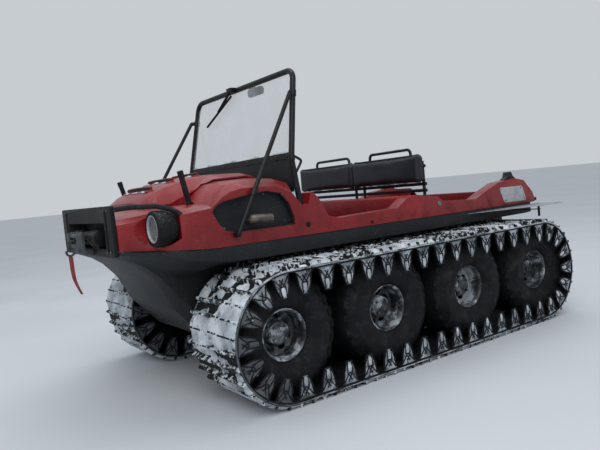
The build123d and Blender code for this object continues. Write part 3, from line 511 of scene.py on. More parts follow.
red = moulded_red()
black = moulded_black()
satin = coated_steel("black_coat", rgb(13, 15, 17), rgb(7, 8, 9), 0.5)
tube_coat = coated_steel("tube_coat", rgb(25, 28, 31), rgb(13, 14, 16), 0.36)
steel = bare_metal("dull_steel", rgb(104, 108, 112), rgb(62, 65, 68), 0.4, 0.6)
dark_steel = bare_metal("dark_steel", rgb(66, 68, 71), rgb(36, 38, 41), 0.42, 0.5, 0.7)
wheel_steel = rim_steel()
plate_metal = bare_metal("plate_metal", rgb(166, 171, 176), rgb(120, 126, 132), 0.42, 1.0, 0.5)
pipe_metal = bare_metal("pipe_metal", rgb(122, 116, 106), rgb(66, 62, 58), 0.34, 0.3)
engine_coat = bare_metal("engine_coat", rgb(120, 122, 124), rgb(80, 82, 84), 0.5, 0.0)
tyre_rubber = rubber("tyre_rubber", 14, 0.6, 0.72)
track_rubber = rubber("track_rubber", 17, 0.6, 0.66)
post_rubber = rubber("post_rubber", 24, 0.15)
bar_rubber = rubber("bar_rubber", 17, 0.9, 0.50)
frost = frosted_rubber()
snow = packed_snow("packed_snow", False)
pocket_snow = packed_snow("pocket_snow", True)
seat_finish = vinyl()
strap_finish = webbing()
screen_clear = clear_sheet()
glass = lamp_glass()
reflector = plain_paint("lamp_reflector", rgb(122, 127, 131), rgb(34, 36, 39), 0.12)
white_plate = plain_paint("white_plate", rgb(160, 163, 165), rgb(102, 106, 110), 0.5)
# Painted shade: the near-black strips in the hood vents' mouths stand for the shade inside them
dark_hollow = plain_paint("dark_hollow", rgb(12, 12, 13), rgb(20, 20, 21), 0.8)
cap_finish = plain_paint("cap_finish", rgb(96, 98, 92), rgb(60, 62, 60), 0.4)

slot_finish = {
    "grey_steel": steel,
    "seat_vinyl": seat_finish,
    "black_plastic": black,
    "engine_grey": engine_coat,
    "exhaust_steel": pipe_metal,
    "aluminium_sheet": plate_metal,
    "black_metal": satin,
    "post_rubber": post_rubber,
    "red_plastic": red,
    "lamp_glass": glass,
    "strap_red": strap_finish,
    "clear_screen": screen_clear,
    "track_rubber": track_rubber,
    "tyre_black": tyre_rubber,
}
slot_of = {row["node"]: row["material_slot"] for row in frame["record"]["subparts"]}
body_of = {o.name: o["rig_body"] for o in nodes.values()}

# Every CAD node gets the finish of its slot
for name in nodes:
    slots = nodes[name].data.materials
    slots.clear()
    slots.append(slot_finish.get(slot_of[name], black))


# ---------------------------------------------------------------- mesh helpers


def opened(mesh):
    shape = bmesh.new()
    shape.from_mesh(mesh)
    return shape


def closed(shape, mesh):
    shape.to_mesh(mesh)
    shape.free()
    return mesh


def new_mesh(shape, name):
    return closed(shape, bpy.data.meshes.new(name))


def linked(name, data):
    """A new object of the scene that shows the data."""
    made = bpy.data.objects.new(name, data)
    bpy.context.scene.collection.objects.link(made)
    return made


def applied(helper):
    """The helper's shape with its modifiers applied, as a plain mesh. The helper goes."""
    graph = bpy.context.evaluated_depsgraph_get()
    mesh = bpy.data.meshes.new_from_object(helper.evaluated_get(graph), depsgraph=graph)
    bpy.data.objects.remove(helper)
    return mesh


def mesh_of(points, faces, name):
    mesh = bpy.data.meshes.new(name)
    mesh.from_pydata([tuple(p) for p in points], [], faces)
    mesh.update()
    return mesh


def faces_of(mesh):
    """The mesh's faces, to cast rays at."""
    return BVHTree.FromPolygons(
        [v.co.copy() for v in mesh.vertices], [tuple(f.vertices) for f in mesh.polygons]
    )


def shaded(mesh, slot, angle=35.0):
    """Smooth shading with hard edges past the angle, and every face on one material slot."""
    shape = opened(mesh)
    for face in shape.faces:
        face.smooth = True
        face.material_index = slot
    for edge in shape.edges:
        if len(edge.link_faces) == 2:
            edge.smooth = edge.calc_face_angle(0.0) < radians(angle)
    return closed(shape, mesh)


def tidy(mesh):
    """Merges doubles and turns the faces outwards."""
    shape = opened(mesh)
    bmesh.ops.remove_doubles(shape, verts=shape.verts, dist=1e-5)
    bmesh.ops.recalc_face_normals(shape, faces=shape.faces)
    return closed(shape, mesh)


def joined(meshes, name):
    """One mesh from several, each face with its own material index."""
    shape = bmesh.new()
    for mesh in meshes:
        shape.from_mesh(mesh)
    return new_mesh(shape, name)


def show(name, parts, finishes, stands_for=(), body="chassis"):
    """Joins the parts and links them as one piece of the object."""
    mesh = joined(parts, name)
    piece = linked(name, mesh)
    for finish in finishes:
        mesh.materials.append(finish)
    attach(piece, body)
    if stands_for:
        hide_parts(*stands_for)
    return piece


def strips(rows, n, whole, rings=True):
    """Quads between rows of n points. The rows close on the first if whole, each row if rings."""
    faces = []
    for row in range(rows if whole else rows - 1):
        a, b = row * n, (row + 1) % rows * n
        for i in range(n if rings else n - 1):
            j = (i + 1) % n
            faces.append((a + i, a + j, b + j, b + i))
    return faces


def facets(rows, name):
    """A skin over rows of points; each row is a loop, and the first and last are capped."""
    n, count = len(rows[0]), len(rows)
    faces = strips(count, n, False)
    faces.append(tuple(range(n))[::-1])
    faces.append(tuple(range((count - 1) * n, count * n)))
    return tidy(mesh_of([p for row in rows for p in row], faces, name))


def lathe(profile, count, name):
    """A closed ring round the Y axis: profile rows are radius and y."""
    points = [(r * c, y, r * s) for c, s in turns(count) for r, y in profile]
    return tidy(mesh_of(points, strips(count, len(profile), True), name))


def bevelled(node, width, segments):
    """A CAD node's own mesh with its edges rounded, which stands for the node."""
    mesh = nodes[node].data.copy()
    shape = opened(mesh)
    bmesh.ops.remove_doubles(shape, verts=shape.verts, dist=2e-5)
    bmesh.ops.dissolve_limit(
        shape, angle_limit=radians(1.0), verts=shape.verts, edges=shape.edges
    )
    helper = linked(node + "_helper", closed(shape, mesh))
    bevel = helper.modifiers.new("edges", "BEVEL")
    bevel.width = width
    bevel.segments = segments
    bevel.limit_method = "ANGLE"
    bevel.angle_limit = radians(28.0)
    bevel.use_clamp_overlap = True
    bevel.harden_normals = False
    slot = slot_of[node]
    parts = [shaded(applied(helper), 0)]
    show(node + "_edged", parts, [slot_finish[slot]], [node], body_of[node])


def tube(route, radius):
    """A round tube along the points."""
    data = bpy.data.curves.new("tube", "CURVE")
    data.dimensions = "3D"
    data.bevel_depth = radius
    data.bevel_resolution = 5
    data.use_fill_caps = True
    spline = data.splines.new("POLY")
    spline.points.add(len(route) - 1)
    for point, place in zip(spline.points, route):
        point.co = (*place, 1.0)
    return tidy(applied(linked("tube_helper", data)))


def rounded(points, bend, steps=7):
    """The points with each corner replaced by an arc of radius bend."""
    route = [points[0]]
    for before, corner, after in zip(points, points[1:], points[2:]):
        a = (before - corner).normalized()
        b = (after - corner).normalized()
        half = a.angle(b) / 2
        back = bend * cos(half) / sin(half)
        centre = corner + (a + b).normalized() * (bend / sin(half))
        start = (corner + a * back - centre).normalized()
        end = (corner + b * back - centre).normalized()
        for step in range(steps + 1):
            route.append(centre + start.slerp(end, step / steps) * bend)
    route.append(points[-1])
    return route


def beam(start, end, wide, deep, slot=0):
    """A bar of rectangular section with its edges chamfered, from start to end."""
    start, end = Vector(start), Vector(end)
    along = (end - start).normalized()
    side = along.cross(up).normalized()
    over = side.cross(along).normalized()
    cut = min(wide, deep) * 0.2
    w, d = wide / 2, deep / 2
    section = [(w - cut, -d), (w, -d + cut), (w, d - cut), (w - cut, d)]
    section += [(-w + cut, d), (-w, d - cut), (-w, -d + cut), (-w + cut, -d)]
    rows = [[where + side * a + over * b for a, b in section] for where in (start, end)]
    return shaded(facets(rows, "beam"), slot)


def pipe(points, radius, bend=0.0, slot=0):
    """A smooth round tube through the points, given in millimetres from the axles' middle."""
    route = [at(*p) for p in points]
    if bend:
        route = rounded(route, bend / 1000)
    return shaded(tube(route, radius / 1000), slot, 50.0)


def disc(centre, facing, r, thick, slot=0, sides=20, dome=0.0):
    """A round pad or bolt head: centre of its foot, the way it faces, sizes in millimetres."""
    facing = Vector(facing).normalized()
    side = facing.orthogonal().normalized()
    other = facing.cross(side)
    rows = []
    for share, rise in ((1.0, 0.0), (1.0, 0.65), (0.86, 1.0), (0.45, 1.0 + dome)):
        foot = at(*centre) + facing * (thick * rise / 1000)
        rows.append([foot + (side * c + other * s) * (r * share / 1000) for c, s in turns(sides)])
    return shaded(facets(rows, "disc"), slot)


def ball(x, y, z, r):
    shape = bmesh.new()
    bmesh.ops.create_uvsphere(shape, u_segments=16, v_segments=10, radius=r / 1000)
    bmesh.ops.translate(shape, verts=shape.verts, vec=at(x, y, z))
    return shaded(new_mesh(shape, "ball"), 0)


def snow_ridge(start, end, wide, high, seed, slot=1):
    """Snow lying along an edge: start and end in millimetres, on the edge's top."""
    start, end = at(*start), at(*end)
    side = (end - start).normalized().cross(up).normalized()
    steps = max(int((end - start).length / 0.012), 6)
    rows = []
    for step in range(steps + 1):
        where = start.lerp(end, step / steps)
        lump = 0.65 + 0.6 * noise.noise(where * 26.0 + Vector((seed, 0, 0)))
        fade = min(step, steps - step, 3) / 3
        amount = max(lump, 0.12) * (0.25 + 0.75 * fade)
        ring = []
        for turn in (0, 36, 72, 108, 144, 180):
            ring.append(
                where
                + side * (wide / 2000 * cos(radians(turn)) * (0.7 + 0.3 * amount))
                + up * (high / 1000 * sin(radians(turn)) * amount - 0.0008)
            )
        rows.append(ring)
    return shaded(facets(rows, "snow_ridge"), slot, 60.0)


def pieces_on_points(finish):
    """Geometry nodes: an object set on every point, turned by the point's spin."""
    tree = bpy.data.node_groups.new("pieces_on_points", "GeometryNodeTree")
    for name, kind in (("Points", "NodeSocketGeometry"), ("Piece", "NodeSocketObject")):
        tree.interface.new_socket(name, in_out="INPUT", socket_type=kind)
    tree.interface.new_socket("Geometry", in_out="OUTPUT", socket_type="NodeSocketGeometry")
    kinds = ("InputNamedAttribute", "ObjectInfo", "InstanceOnPoints", "RealizeInstances")
    spin, info, place, real = (tree.nodes.new("GeometryNode" + kind) for kind in kinds)
    coat = tree.nodes.new("GeometryNodeSetMaterial")
    start, end = tree.nodes.new("NodeGroupInput"), tree.nodes.new("NodeGroupOutput")
    spin.data_type = "FLOAT_VECTOR"
    spin.inputs["Name"].default_value = "spin"
    coat.inputs["Material"].default_value = finish
    for source, output, target, into in (
        (start, "Piece", info, "Object"),
        (start, "Points", place, "Points"),
        (info, "Geometry", place, "Instance"),
        (spin, "Attribute", place, "Rotation"),
        (place, "Instances", real, "Geometry"),
        (real, "Geometry", coat, "Geometry"),
        (coat, "Geometry", end, "Geometry"),
    ):
        tree.links.new(source.outputs[output], target.inputs[into])
    return tree


def set_out(mesh, places, finish):
    """The mesh repeated at each (point, spin), as one plain mesh."""
    tree = pieces_on_points(finish)
    points = mesh_of([point for point, _ in places], [], "places")
    spins = points.attributes.new("spin", "FLOAT_VECTOR", "POINT")
    for row, (_, spin) in zip(spins.data, places):
        row.vector = spin
    model = linked("one_of_the_row", mesh)
    helper = linked("row_helper", points)
    row = helper.modifiers.new("row", "NODES")
    row.node_group = tree
    for item in tree.interface.items_tree:
        if item.item_type == "SOCKET" and item.in_out == "INPUT" and item.name == "Piece":
            row[item.identifier] = model
    result = applied(helper)
    bpy.data.objects.remove(model)
    return result


def mirrored(mesh, middle=0.0):
    twin = mesh.copy()
    shape = opened(twin)
    for vert in shape.verts:
        vert.co.y = 2 * middle - vert.co.y
    bmesh.ops.reverse_faces(shape, faces=shape.faces)
    return closed(shape, twin)


def both_sides(*parts):
    side = joined(parts, "side")
    return [side, mirrored(side)]


# ---------------------------------------------------------------- tracks


def along_track(shares):
    """Places on the belt's inner face, one for each share of a pitch in every shoe."""
    places = []
    for shoe in range(shoe_count):
        for share in shares:
            travel = pitch * (shoe + first_shoe + share)
            x, z = on_loop(travel, belt_in_r)
            # The spin is how far the belt has turned about Y from lying flat on the top run
            travel = travel % loop_length
            spin = 0.0
            if travel < front_arc:
                spin = travel / belt_in_r
            elif travel < front_arc + straight:
                spin = pi
            elif travel < top_run_start:
                spin = pi + (travel - front_arc - straight) / belt_in_r
            places.append(((x, 0.0, z), (0.0, spin, 0.0)))
    return places


def band(profile, name):
    """A closed band round the wheels: profile rows are y and height over the belt's inner face."""
    around = shoe_count * 8
    points = []
    for step in range(around):
        for y, h in profile:
            x, z = on_loop(loop_length * step / around, belt_in_r + h)
            points.append((x, y, z))
    return tidy(mesh_of(points, strips(around, len(profile), True), name))


def tread_bar():
    """A bar across the belt in three offset lengths, tapered to its tip."""
    # Height over the belt's inner face, and half the bar's width there
    section = (
        (belt_t - 0.002, 0.0130),
        (0.018, 0.0088),
        (lug_top - 0.0015, 0.0050),
        (lug_top, 0.0036),
    )
    lengths = []
    for y0, y1, shift in ((0.002, 0.146, 0.0016), (0.152, 0.302, -0.0016), (0.308, 0.452, 0.0016)):
        rows = []
        for z, half in section:
            inset = 0.004 * (z - belt_t) / lug_h
            low, high = track_in_y + y0 + inset, track_in_y + y1 - inset
            corners = ((-half, low), (half, low), (half, high), (-half, high))
            rows.append([(shift + x, y, z) for x, y in corners])
        lengths.append(facets(rows, "bar_length"))
    return joined(lengths, "tread_bar")


# Half of a finger's outline: share of a pitch from its middle, and depth below the belt
finger_outline = [
    (0.50, 0.0),
    (0.42, 0.003),
    (0.35, 0.010),
    (0.315, 0.030),
    (0.285, 0.060),
    (0.20, 0.095),
    (0.145, 0.1165),
    (0.12, finger_reach),
]
finger_face_y = track_out_y - 0.0008
finger_back_y = track_out_y - finger_t
rib_y = finger_face_y - 0.0028
pocket_z = -0.083


def finger_form(rows, name):
    """A finger's skin: rows are a margin by which the outline is drawn in, and a y."""
    rings = []
    for margin, y in rows:
        ring = []
        for share, depth in finger_outline:
            depth = min(max(depth, margin * 0.5), finger_reach - margin)
            ring.append((share * pitch - margin, y, -depth))
        rings.append(ring + [(-x, y, z) for x, y, z in reversed(ring)])
    return facets(rings, name)


def finger_shell():
    """Border, edge and back of a finger, with the seat of its sunk panel."""
    rows = [
        (0.0015, finger_back_y),
        (0.0, finger_back_y + 0.0015),
        (0.0, finger_face_y - 0.0015),
        (0.0012, finger_face_y),
        (0.0045, finger_face_y),
        (0.0060, finger_face_y - 0.0055),
    ]
    return finger_form(rows, "finger_shell")


def finger_panel():
    rows = [(0.0066, finger_face_y - 0.0058), (0.0070, finger_face_y - 0.0044)]
    return finger_form(rows, "finger_panel")


def finger_ribs():
    """Crossed ribs over the panel and the rim of the pocket near the tip."""
    # x and z of a rib's two ends, and its width
    runs = [(-0.017, -0.056, 0.017, -0.056, 0.0050)]
    for side in (-1, 1):
        runs.append((side * 0.0165, -0.056, side * 0.0125, -0.108, 0.0040))
        runs.append((side * 0.010, -0.020, -side * 0.013, -0.056, 0.0045))
        runs.append((side * 0.040, -0.012, side * 0.010, -0.052, 0.0055))
    ribs = []
    for x0, z0, x1, z1, wide in reversed(runs):
        ribs.append(beam((x0, rib_y, z0), (x1, rib_y, z1), wide, 0.0052))
    return joined(ribs, "finger_ribs")


def finger_snow():
    """Snow packed in the oval pocket near the tip."""
    rows = []
    for lift, share in ((-0.0052, 1.0), (-0.0012, 0.92), (0.0006, 0.66)):
        ring = []
        for c, s in turns(16):
            ring.append((0.0125 * share * c, finger_face_y + lift, pocket_z + 0.0245 * share * s))
        rows.append(ring)
    return facets(rows, "finger_snow")


def snow_share(travel, y, outward):
    """How much snow lies on the belt, from 0 to 1, and a fine unevenness."""
    where = Vector((travel, y, 0.0))
    broad = noise.noise(where * 5.5 + Vector((3.1, 0.0, 7.7)))
    patch = noise.noise(where * 14.0 + Vector((0.0, 5.0, 2.0)))
    fine = noise.fractal(where * 42.0, 0.9, 2.1, 4)
    if travel < front_arc:
        level = 0.50 * min(travel / front_arc * 3.2, 1.0)
        cover = level + 1.75 * broad + 0.60 * patch + 0.22 * fine
    else:
        if travel < front_arc + straight:
            level = 0.35
        elif travel < top_run_start:
            level = -0.30
        else:
            # On the top run the snow thins towards the hull: partly real, partly the hull's
            # painted shade
            level = -0.78 + 1.05 * outward + 0.22 * (travel - top_run_start) / straight
        cover = level + 1.35 * broad + 0.95 * patch + 0.45 * fine
    share = min(max(cover * 1.6 + 0.35, 0.0), 1.0)
    return share * share * (3 - 2 * share), fine


def snow_cover():
    """Snow packed between the bars: an uneven skin over the belt's outer face."""
    around, across = shoe_count * 16, 44
    y0, y1 = track_in_y + 0.003, track_out_y - 0.002
    points = []
    for step in range(around):
        travel = loop_length * step / around
        for j in range(across + 1):
            y = y0 + (y1 - y0) * j / across
            rise, fine = snow_share(travel, y, (y - y0) / (y1 - y0))
            edge = min(min(j, across - j) / 2.0, 1.0)
            h = belt_t - 0.003 + (lug_h + 0.0022) * rise * (0.35 + 0.65 * edge)
            h = min(h + 0.0012 * fine, lug_top - 0.0006)
            x, z = on_loop(travel, belt_in_r + h)
            points.append((x, y, z))
    return mesh_of(points, strips(around, across + 1, True, False), "snow_cover")


belt_profile = [
    (track_in_y, 0.0),
    (track_in_y, belt_t),
    (track_out_y, belt_t),
    (track_out_y, 0.0),
]
bead_profile = [
    (track_out_y - 0.0075, belt_t - 0.003),
    (track_out_y - 0.0075, belt_t + 0.002),
    (track_out_y - 0.0050, belt_t + 0.004),
    (track_out_y - 0.0012, belt_t + 0.004),
    (track_out_y + 0.0012, belt_t + 0.0015),
    (track_out_y + 0.0012, belt_t - 0.003),
]
track_finishes = [track_rubber, snow, frost, bar_rubber, pocket_snow]
bead = shaded(band(bead_profile, "bead"), 2)
track_parts = [
    shaded(band(belt_profile, "belt"), 0),
    bead,
    mirrored(bead, track_mid_y),
    shaded(set_out(tread_bar(), along_track([-0.26, 0.24]), bar_rubber), 3),
    shaded(snow_cover(), 1, 60.0),
]
for slot, form in ((0, finger_shell), (2, finger_panel), (0, finger_ribs), (4, finger_snow)):
    row = shaded(set_out(form(), along_track([0.0]), track_finishes[slot]), slot)
    track_parts += [row, mirrored(row, track_mid_y)]
track = joined(track_parts, "track")
show("track_shoes_left", [track], track_finishes, ["track_left"])
show("track_shoes_right", [mirrored(track)], track_finishes, ["track_right"])


# ---------------------------------------------------------------- wheels

# Radius and y of the tyre's section
tyre_profile = [
    (0.1163, 0.585),
    (0.1163, 0.777),
    (0.1275, 0.781),
    (0.132, 0.797),
    (0.150, 0.812),
    (0.185, 0.8275),
    (0.215, 0.830),
    (0.240, 0.829),
    (0.262, 0.820),
    (0.284, 0.800),
    (0.297, 0.772),
    (0.3035, 0.735),
    (0.304, 0.682),
    (0.3035, 0.629),
    (0.297, 0.592),
    (0.284, 0.564),
    (0.262, 0.544),
    (0.240, 0.535),
    (0.215, 0.534),
    (0.185, 0.5365),
    (0.150, 0.552),
    (0.132, 0.567),
    (0.1275, 0.583),
]
block_count = 26
block_faces = ((0, 1, 3, 2), (4, 6, 7, 5), (0, 4, 5, 1), (2, 3, 7, 6), (0, 2, 6, 4), (1, 5, 7, 3))


def tyre_mesh():
    """A tyre with the shoulder blocks of its tread on both sides."""
    shape = opened(lathe(tyre_profile, 72, "tyre"))
    for side_y, inward, first in ((tyre_out_y, -1, 0.0), (tyre_in_y, 1, pi / block_count)):
        # Radius, y and outward rise of a block's inner and outer end
        ends = ((0.252, side_y, 0.0), (0.2995, side_y + inward * 0.045, 0.003))
        for c, s in turns(block_count, first):
            corners = []
            for r, y, rise in ends:
                for w in (-0.019, 0.019):
                    for sunk, far in ((0.006, r), (0.0, r + rise)):
                        place = (far * c - w * s, y + inward * sunk, far * s + w * c)
                        corners.append(shape.verts.new(place))
            for quad in block_faces:
                shape.faces.new([corners[i] for i in quad])
    bmesh.ops.recalc_face_normals(shape, faces=shape.faces)
    return shaded(new_mesh(shape, "tyre_blocks"), 0, 42.0)


# Radius and y of the rim's barrel, and of its dish from the barrel to the middle
barrel_profile = [
    (0.123, 0.790),
    (0.127, 0.790),
    (0.127, 0.781),
    (0.119, 0.777),
    (0.116, 0.770),
    (0.116, 0.592),
    (0.119, 0.585),
    (0.127, 0.581),
    (0.127, 0.572),
    (0.123, 0.572),
    (0.115, 0.579),
    (0.112, 0.588),
    (0.112, 0.770),
    (0.115, 0.781),
]
dish_rows = [
    (0.1125, 0.700),
    (0.106, 0.6985),
    (0.100, 0.694),
    (0.094, 0.691),
    (0.076, 0.686),
    (0.070, 0.686),
    (0.064, 0.690),
    (0.060, 0.720),
    (0.056, 0.738),
    (0.050, 0.7415),
    (0.034, 0.742),
    (0.030, 0.738),
    (0.018, 0.738),
    (0.016, 0.743),
]
# Steps of each eighth of a turn that are left out of a ring of the dish, for its holes
hole_steps = {2: (2, 3, 4), 3: (1, 2, 3, 4, 5), 4: (2, 3, 4)}


def rim_mesh():
    """A pressed steel rim with oval holes in its dish, and its nuts."""
    count = 64
    points = [(r * c, y, r * s) for r, y in dish_rows for c, s in turns(count)]
    centre = len(points)
    points.append((0.0, dish_rows[-1][1], 0.0))
    faces = []
    for i, quad in enumerate(strips(len(dish_rows), count, False)):
        if i % 8 not in hole_steps.get(i // count, ()):
            faces.append(quad)
    last = centre - count
    for step in range(count):
        faces.append((last + step, last + (step + 1) % count, centre))
    helper = linked("dish_helper", tidy(mesh_of(points, faces, "dish")))
    wall = helper.modifiers.new("wall", "SOLIDIFY")
    wall.thickness = 0.004
    wall.offset = 0.0
    dish = applied(helper)
    shape = bmesh.new()
    for c, s in turns(4, pi / 4):
        bmesh.ops.create_cone(
            shape,
            cap_ends=True,
            segments=6,
            radius1=0.0085,
            radius2=0.0075,
            depth=0.014,
            matrix=Matrix.Translation((0.043 * c, 0.747, 0.043 * s))
            @ Matrix.Rotation(pi / 2, 4, "X"),
        )
    bmesh.ops.recalc_face_normals(shape, faces=shape.faces)
    parts = [lathe(barrel_profile, 64, "barrel"), dish, new_mesh(shape, "nuts")]
    return shaded(joined(parts, "rim"), 0, 38.0)


def at_wheels(mesh):
    """The mesh once at each of the four axles on the left."""
    copies = []
    for x in axle_x:
        copies.append(mesh.copy())
        copies[-1].transform(Matrix.Translation((x, 0, wheel_z)))
    return joined(copies, "wheels")


tyres = at_wheels(tyre_mesh())
show("tyres_near", [tyres], [tyre_rubber], ["tyres_left"])
show("tyres_far", [mirrored(tyres)], [tyre_rubber], ["tyres_right"])
rims = at_wheels(rim_mesh())
show("rims_near", [rims], [wheel_steel], ["rims_left"])
show("rims_far", [mirrored(rims)], [wheel_steel], ["rims_right"])


# ---------------------------------------------------------------- panels with rounded edges

# Node, width of its edges' rounding and steps in it
for node, width, segments in (
    ("upper_body", 0.0120, 4),
    ("hood_lid", 0.0050, 3),
    ("rear_lip", 0.0050, 3),
    ("front_guard", 0.0022, 2),
    ("fairlead", 0.0018, 2),
    ("hull_tub", 0.0100, 3),
    ("winch", 0.003, 2),
    ("screen_panel", 0.0012, 2),
    ("mirror_shell", 0.004, 3),
    ("dash_panel", 0.002, 2),
    ("hitch", 0.0025, 2),
    ("rear_cleats", 0.003, 2),
    ("wiper", 0.001, 2),
):
    bevelled(node, width, segments)


# ---------------------------------------------------------------- bars and tubes
# From here on, places and sizes are in millimetres from the axles' middle, unless Vectors

screen_route = [
    (714, 604, 945),
    (744, 604, 1180),
    (652, 566, 1657),
    (652, -566, 1657),
    (744, -604, 1180),
    (714, -604, 945),
]
parts = [
    pipe(screen_route, 16, 60),
    beam(at(736.5, 602, 1205), at(736.5, -602, 1205), 0.009, 0.030),
    snow_ridge((737, 570, 1219), (737, -580, 1219), 15, 13, 1.0),
]
for s in (1, -1):
    # A clamp round the leg and a link that carry the brace's head, and the knee's bolt
    parts.append(pipe([(679.6, s * 577.4, 1514), (673.8, s * 575.0, 1544)], 19.5))
    parts.append(beam(at(676, s * 576, 1529), at(711, s * 598, 1529), 0.007, 0.024))
    parts.append(disc((744, s * 619, 1180), (0.1, s, 0), 11, 4))
show("screen_tubes", parts, [tube_coat, snow], ["screen_frame"])

# The wiper's rubber blade and the sleeve of its arm
parts = [
    pipe([(693, -62, 1645), (707.5, -202, 1549)], 8.0),
    pipe([(688.8, -54, 1622), (716.9, -350, 1476)], 7.0),
]
show("wiper_blade", parts, [satin])

parts = []
for s in (1, -1):
    # The brace, its head's pin, the boss and ball at its foot, and its sleeve
    parts.append(pipe([(707, s * 597, 1532), (1140, s * 677, 838)], 11))
    parts.append(pipe([(708, s * 584, 1529), (708, s * 612, 1529)], 7))
    parts.append(disc((1141, s * 648, 836), (0, s, 0), 13, 38, dome=0.05))
    parts.append(ball(1140, s * 677, 838, 12.5))
    parts.append(pipe([(1010, s * 656.3, 1048.8), (1030, s * 659.4, 1016.4)], 14))
show("brace_tubes", parts, [tube_coat], ["screen_braces"])

parts = []
for s in (1, -1):
    parts.append(pipe([(738, s * 604, 1204), (678, s * 604, 1172), (732, s * 604, 1098)], 7, 14))
show("grab_tubes", parts, [tube_coat], ["grab_loops"])

rail_x = -233.3
loop_x = -247.3
parts = []
for s in (1, -1):
    corners = ((110, 1072), (110, 1202), (490, 1202), (490, 1072))
    parts.append(pipe([(loop_x, s * y, z) for y, z in corners], 9.5, 28))
    for y in (44, 596):
        parts.append(pipe([(rail_x, s * y, 904.6), (rail_x, s * y, 1120)], 10))
        parts.append(disc((rail_x, s * y, 905), (0, 0, 1), 19, 5))
for z in (940, 980, 1090):
    parts.append(pipe([(rail_x, 614, z), (rail_x, -614, z)], 10.5))
parts.append(snow_ridge((rail_x, 580, 989), (rail_x, 60, 989), 15, 6, 5.0))
parts.append(snow_ridge((rail_x, -60, 989), (rail_x, -580, 989), 15, 6, 6.0))
parts.append(snow_ridge((-247, 460, 1210), (-247, 140, 1210), 12, 5, 7.0))
show("seat_tubes", parts, [tube_coat, snow], ["seat_frame"])

brow_route = [
    (1646, 416, 1010),
    (1565, 470, 1014),
    (1490, 560, 1009),
    (1430, 604, 987),
    (1392, 612, 956),
]
parts = [pipe([(x, s * y, z) for x, y, z in brow_route], 12, 30) for s in (1, -1)]
show("brow_rolls", parts, [post_rubber], ["lamp_brows"])

parts = []
for s in (1, -1):
    # The post, its cap, four ribs and its foot
    parts.append(pipe([(1264, s * 430.5, 999), (1300.5, s * 444.5, 1160)], 14))
    parts.append(pipe([(1296, s * 442.6, 1140), (1302, s * 445, 1167)], 15.5))
    for share in (0.3, 0.42, 0.54, 0.66):
        x, y, z = 1264 + 36.5 * share, s * (430.5 + 14 * share), 999 + 161 * share
        parts.append(pipe([(x, y, z), (x + 1.2, y + s * 0.45, z + 5)], 15.0))
    parts.append(pipe([(1262, s * 429.8, 998), (1265, s * 431, 1010)], 19))
show("post_bars", parts, [post_rubber], ["front_posts"])

# The handlebar: column, bar, two grips and the bar's clamp
stem_x = (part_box("dash_panel")[0].x - middle_x) * 1000 + 2
bar_x = stem_x - 172
tip_x = stem_x - 214
tilt = radians(35)
column = [(stem_x - d * cos(tilt), -300, 890 + d * sin(tilt)) for d in (18, 208)]
bar_route = [(tip_x, -505, 1002), (bar_x, -390, 1011), (bar_x, -210, 1011), (tip_x, -95, 1002)]
parts = [
    pipe(column, 12),
    pipe(bar_route, 11, 40),
    pipe([(stem_x - 209.5, -492, 1003), (stem_x - 176, -402, 1010)], 15.5, slot=1),
    pipe([(stem_x - 209.5, -108, 1003), (stem_x - 176, -198, 1010)], 15.5, slot=1),
    pipe([(bar_x, -322, 1011), (bar_x, -278, 1011)], 17),
]
bar_finishes = [tube_coat, post_rubber]
show("steering_bar", parts, bar_finishes, ["handlebar"], "steering")


# ---------------------------------------------------------------- lamps

lamp_y, lamp_z = 556.0, 905.0


def turned(profile, slot, sides=48):
    """A form turned about a lamp's axis: profile rows are x and radius."""
    rows = []
    for x, r in profile:
        rows.append([at(x, lamp_y + r * c, lamp_z + r * s) for c, s in turns(sides)])
    return shaded(facets(rows, "turned"), slot)


bucket_profile = [
    (1408, 56),
    (1430, 74),
    (1465, 83.5),
    (1508, 84),
    (1516, 82),
    (1520, 77),
    (1521, 72),
    (1520, 66),
    (1514, 64.5),
    (1506, 64),
]
ring_profile = [(1506, 65), (1517, 65), (1519.5, 63.5), (1519.5, 60.5), (1515, 58.6), (1506, 58.5)]
bowl_profile = [
    (1506.5, 58),
    (1507.2, 57),
    (1498, 50),
    (1486, 38),
    (1478, 22),
    (1476, 9),
    (1475.5, 2),
]
bulb_profile = [(1476, 8.5), (1492, 8.0), (1497, 5.0), (1498, 1.0)]
lens_profile = [(1508, 58.2), (1511, 58.2), (1515, 50), (1518, 36), (1519.6, 18), (1520, 2)]
parts = both_sides(
    turned(bucket_profile, 0),
    turned(ring_profile, 2),
    turned(bowl_profile, 1),
    turned(bulb_profile, 2, 16),
)
bucket_finishes = [satin, reflector, white_plate]
show("lamp_buckets", parts, bucket_finishes, ["head_lamps"])
show("lamp_domes", both_sides(turned(lens_profile, 0)), [glass], ["lamp_lenses"])

# The red wall of each lamp's well, from the lamp's front out to the nose's skin
body_faces = faces_of(nodes["upper_body"].data)
ahead = Vector((1, 0, 0))
well_r = 87.5
rows = []
for c, s in turns(96) + turns(1):
    start = at(1521, lamp_y + well_r * c, lamp_z + well_r * s)
    inner = body_faces.ray_cast(start, ahead, 0.2)[0]
    outer = inner and body_faces.ray_cast(inner + ahead * 0.0005, ahead, 0.1)[0]
    if outer:
        rim_x = (outer.x - middle_x) * 1000 - 0.4
        ring = ((1516, 86.2), (rim_x, 86.2), (rim_x, 88.4), (1516, 88.4))
        rows.append([at(x, lamp_y + r * c, lamp_z + r * s) for x, r in ring])
well = shaded(facets(rows, "lamp_well"), 0, 50.0)
show("lamp_wells", both_sides(well), [red])


# ---------------------------------------------------------------- winch, caps, plate

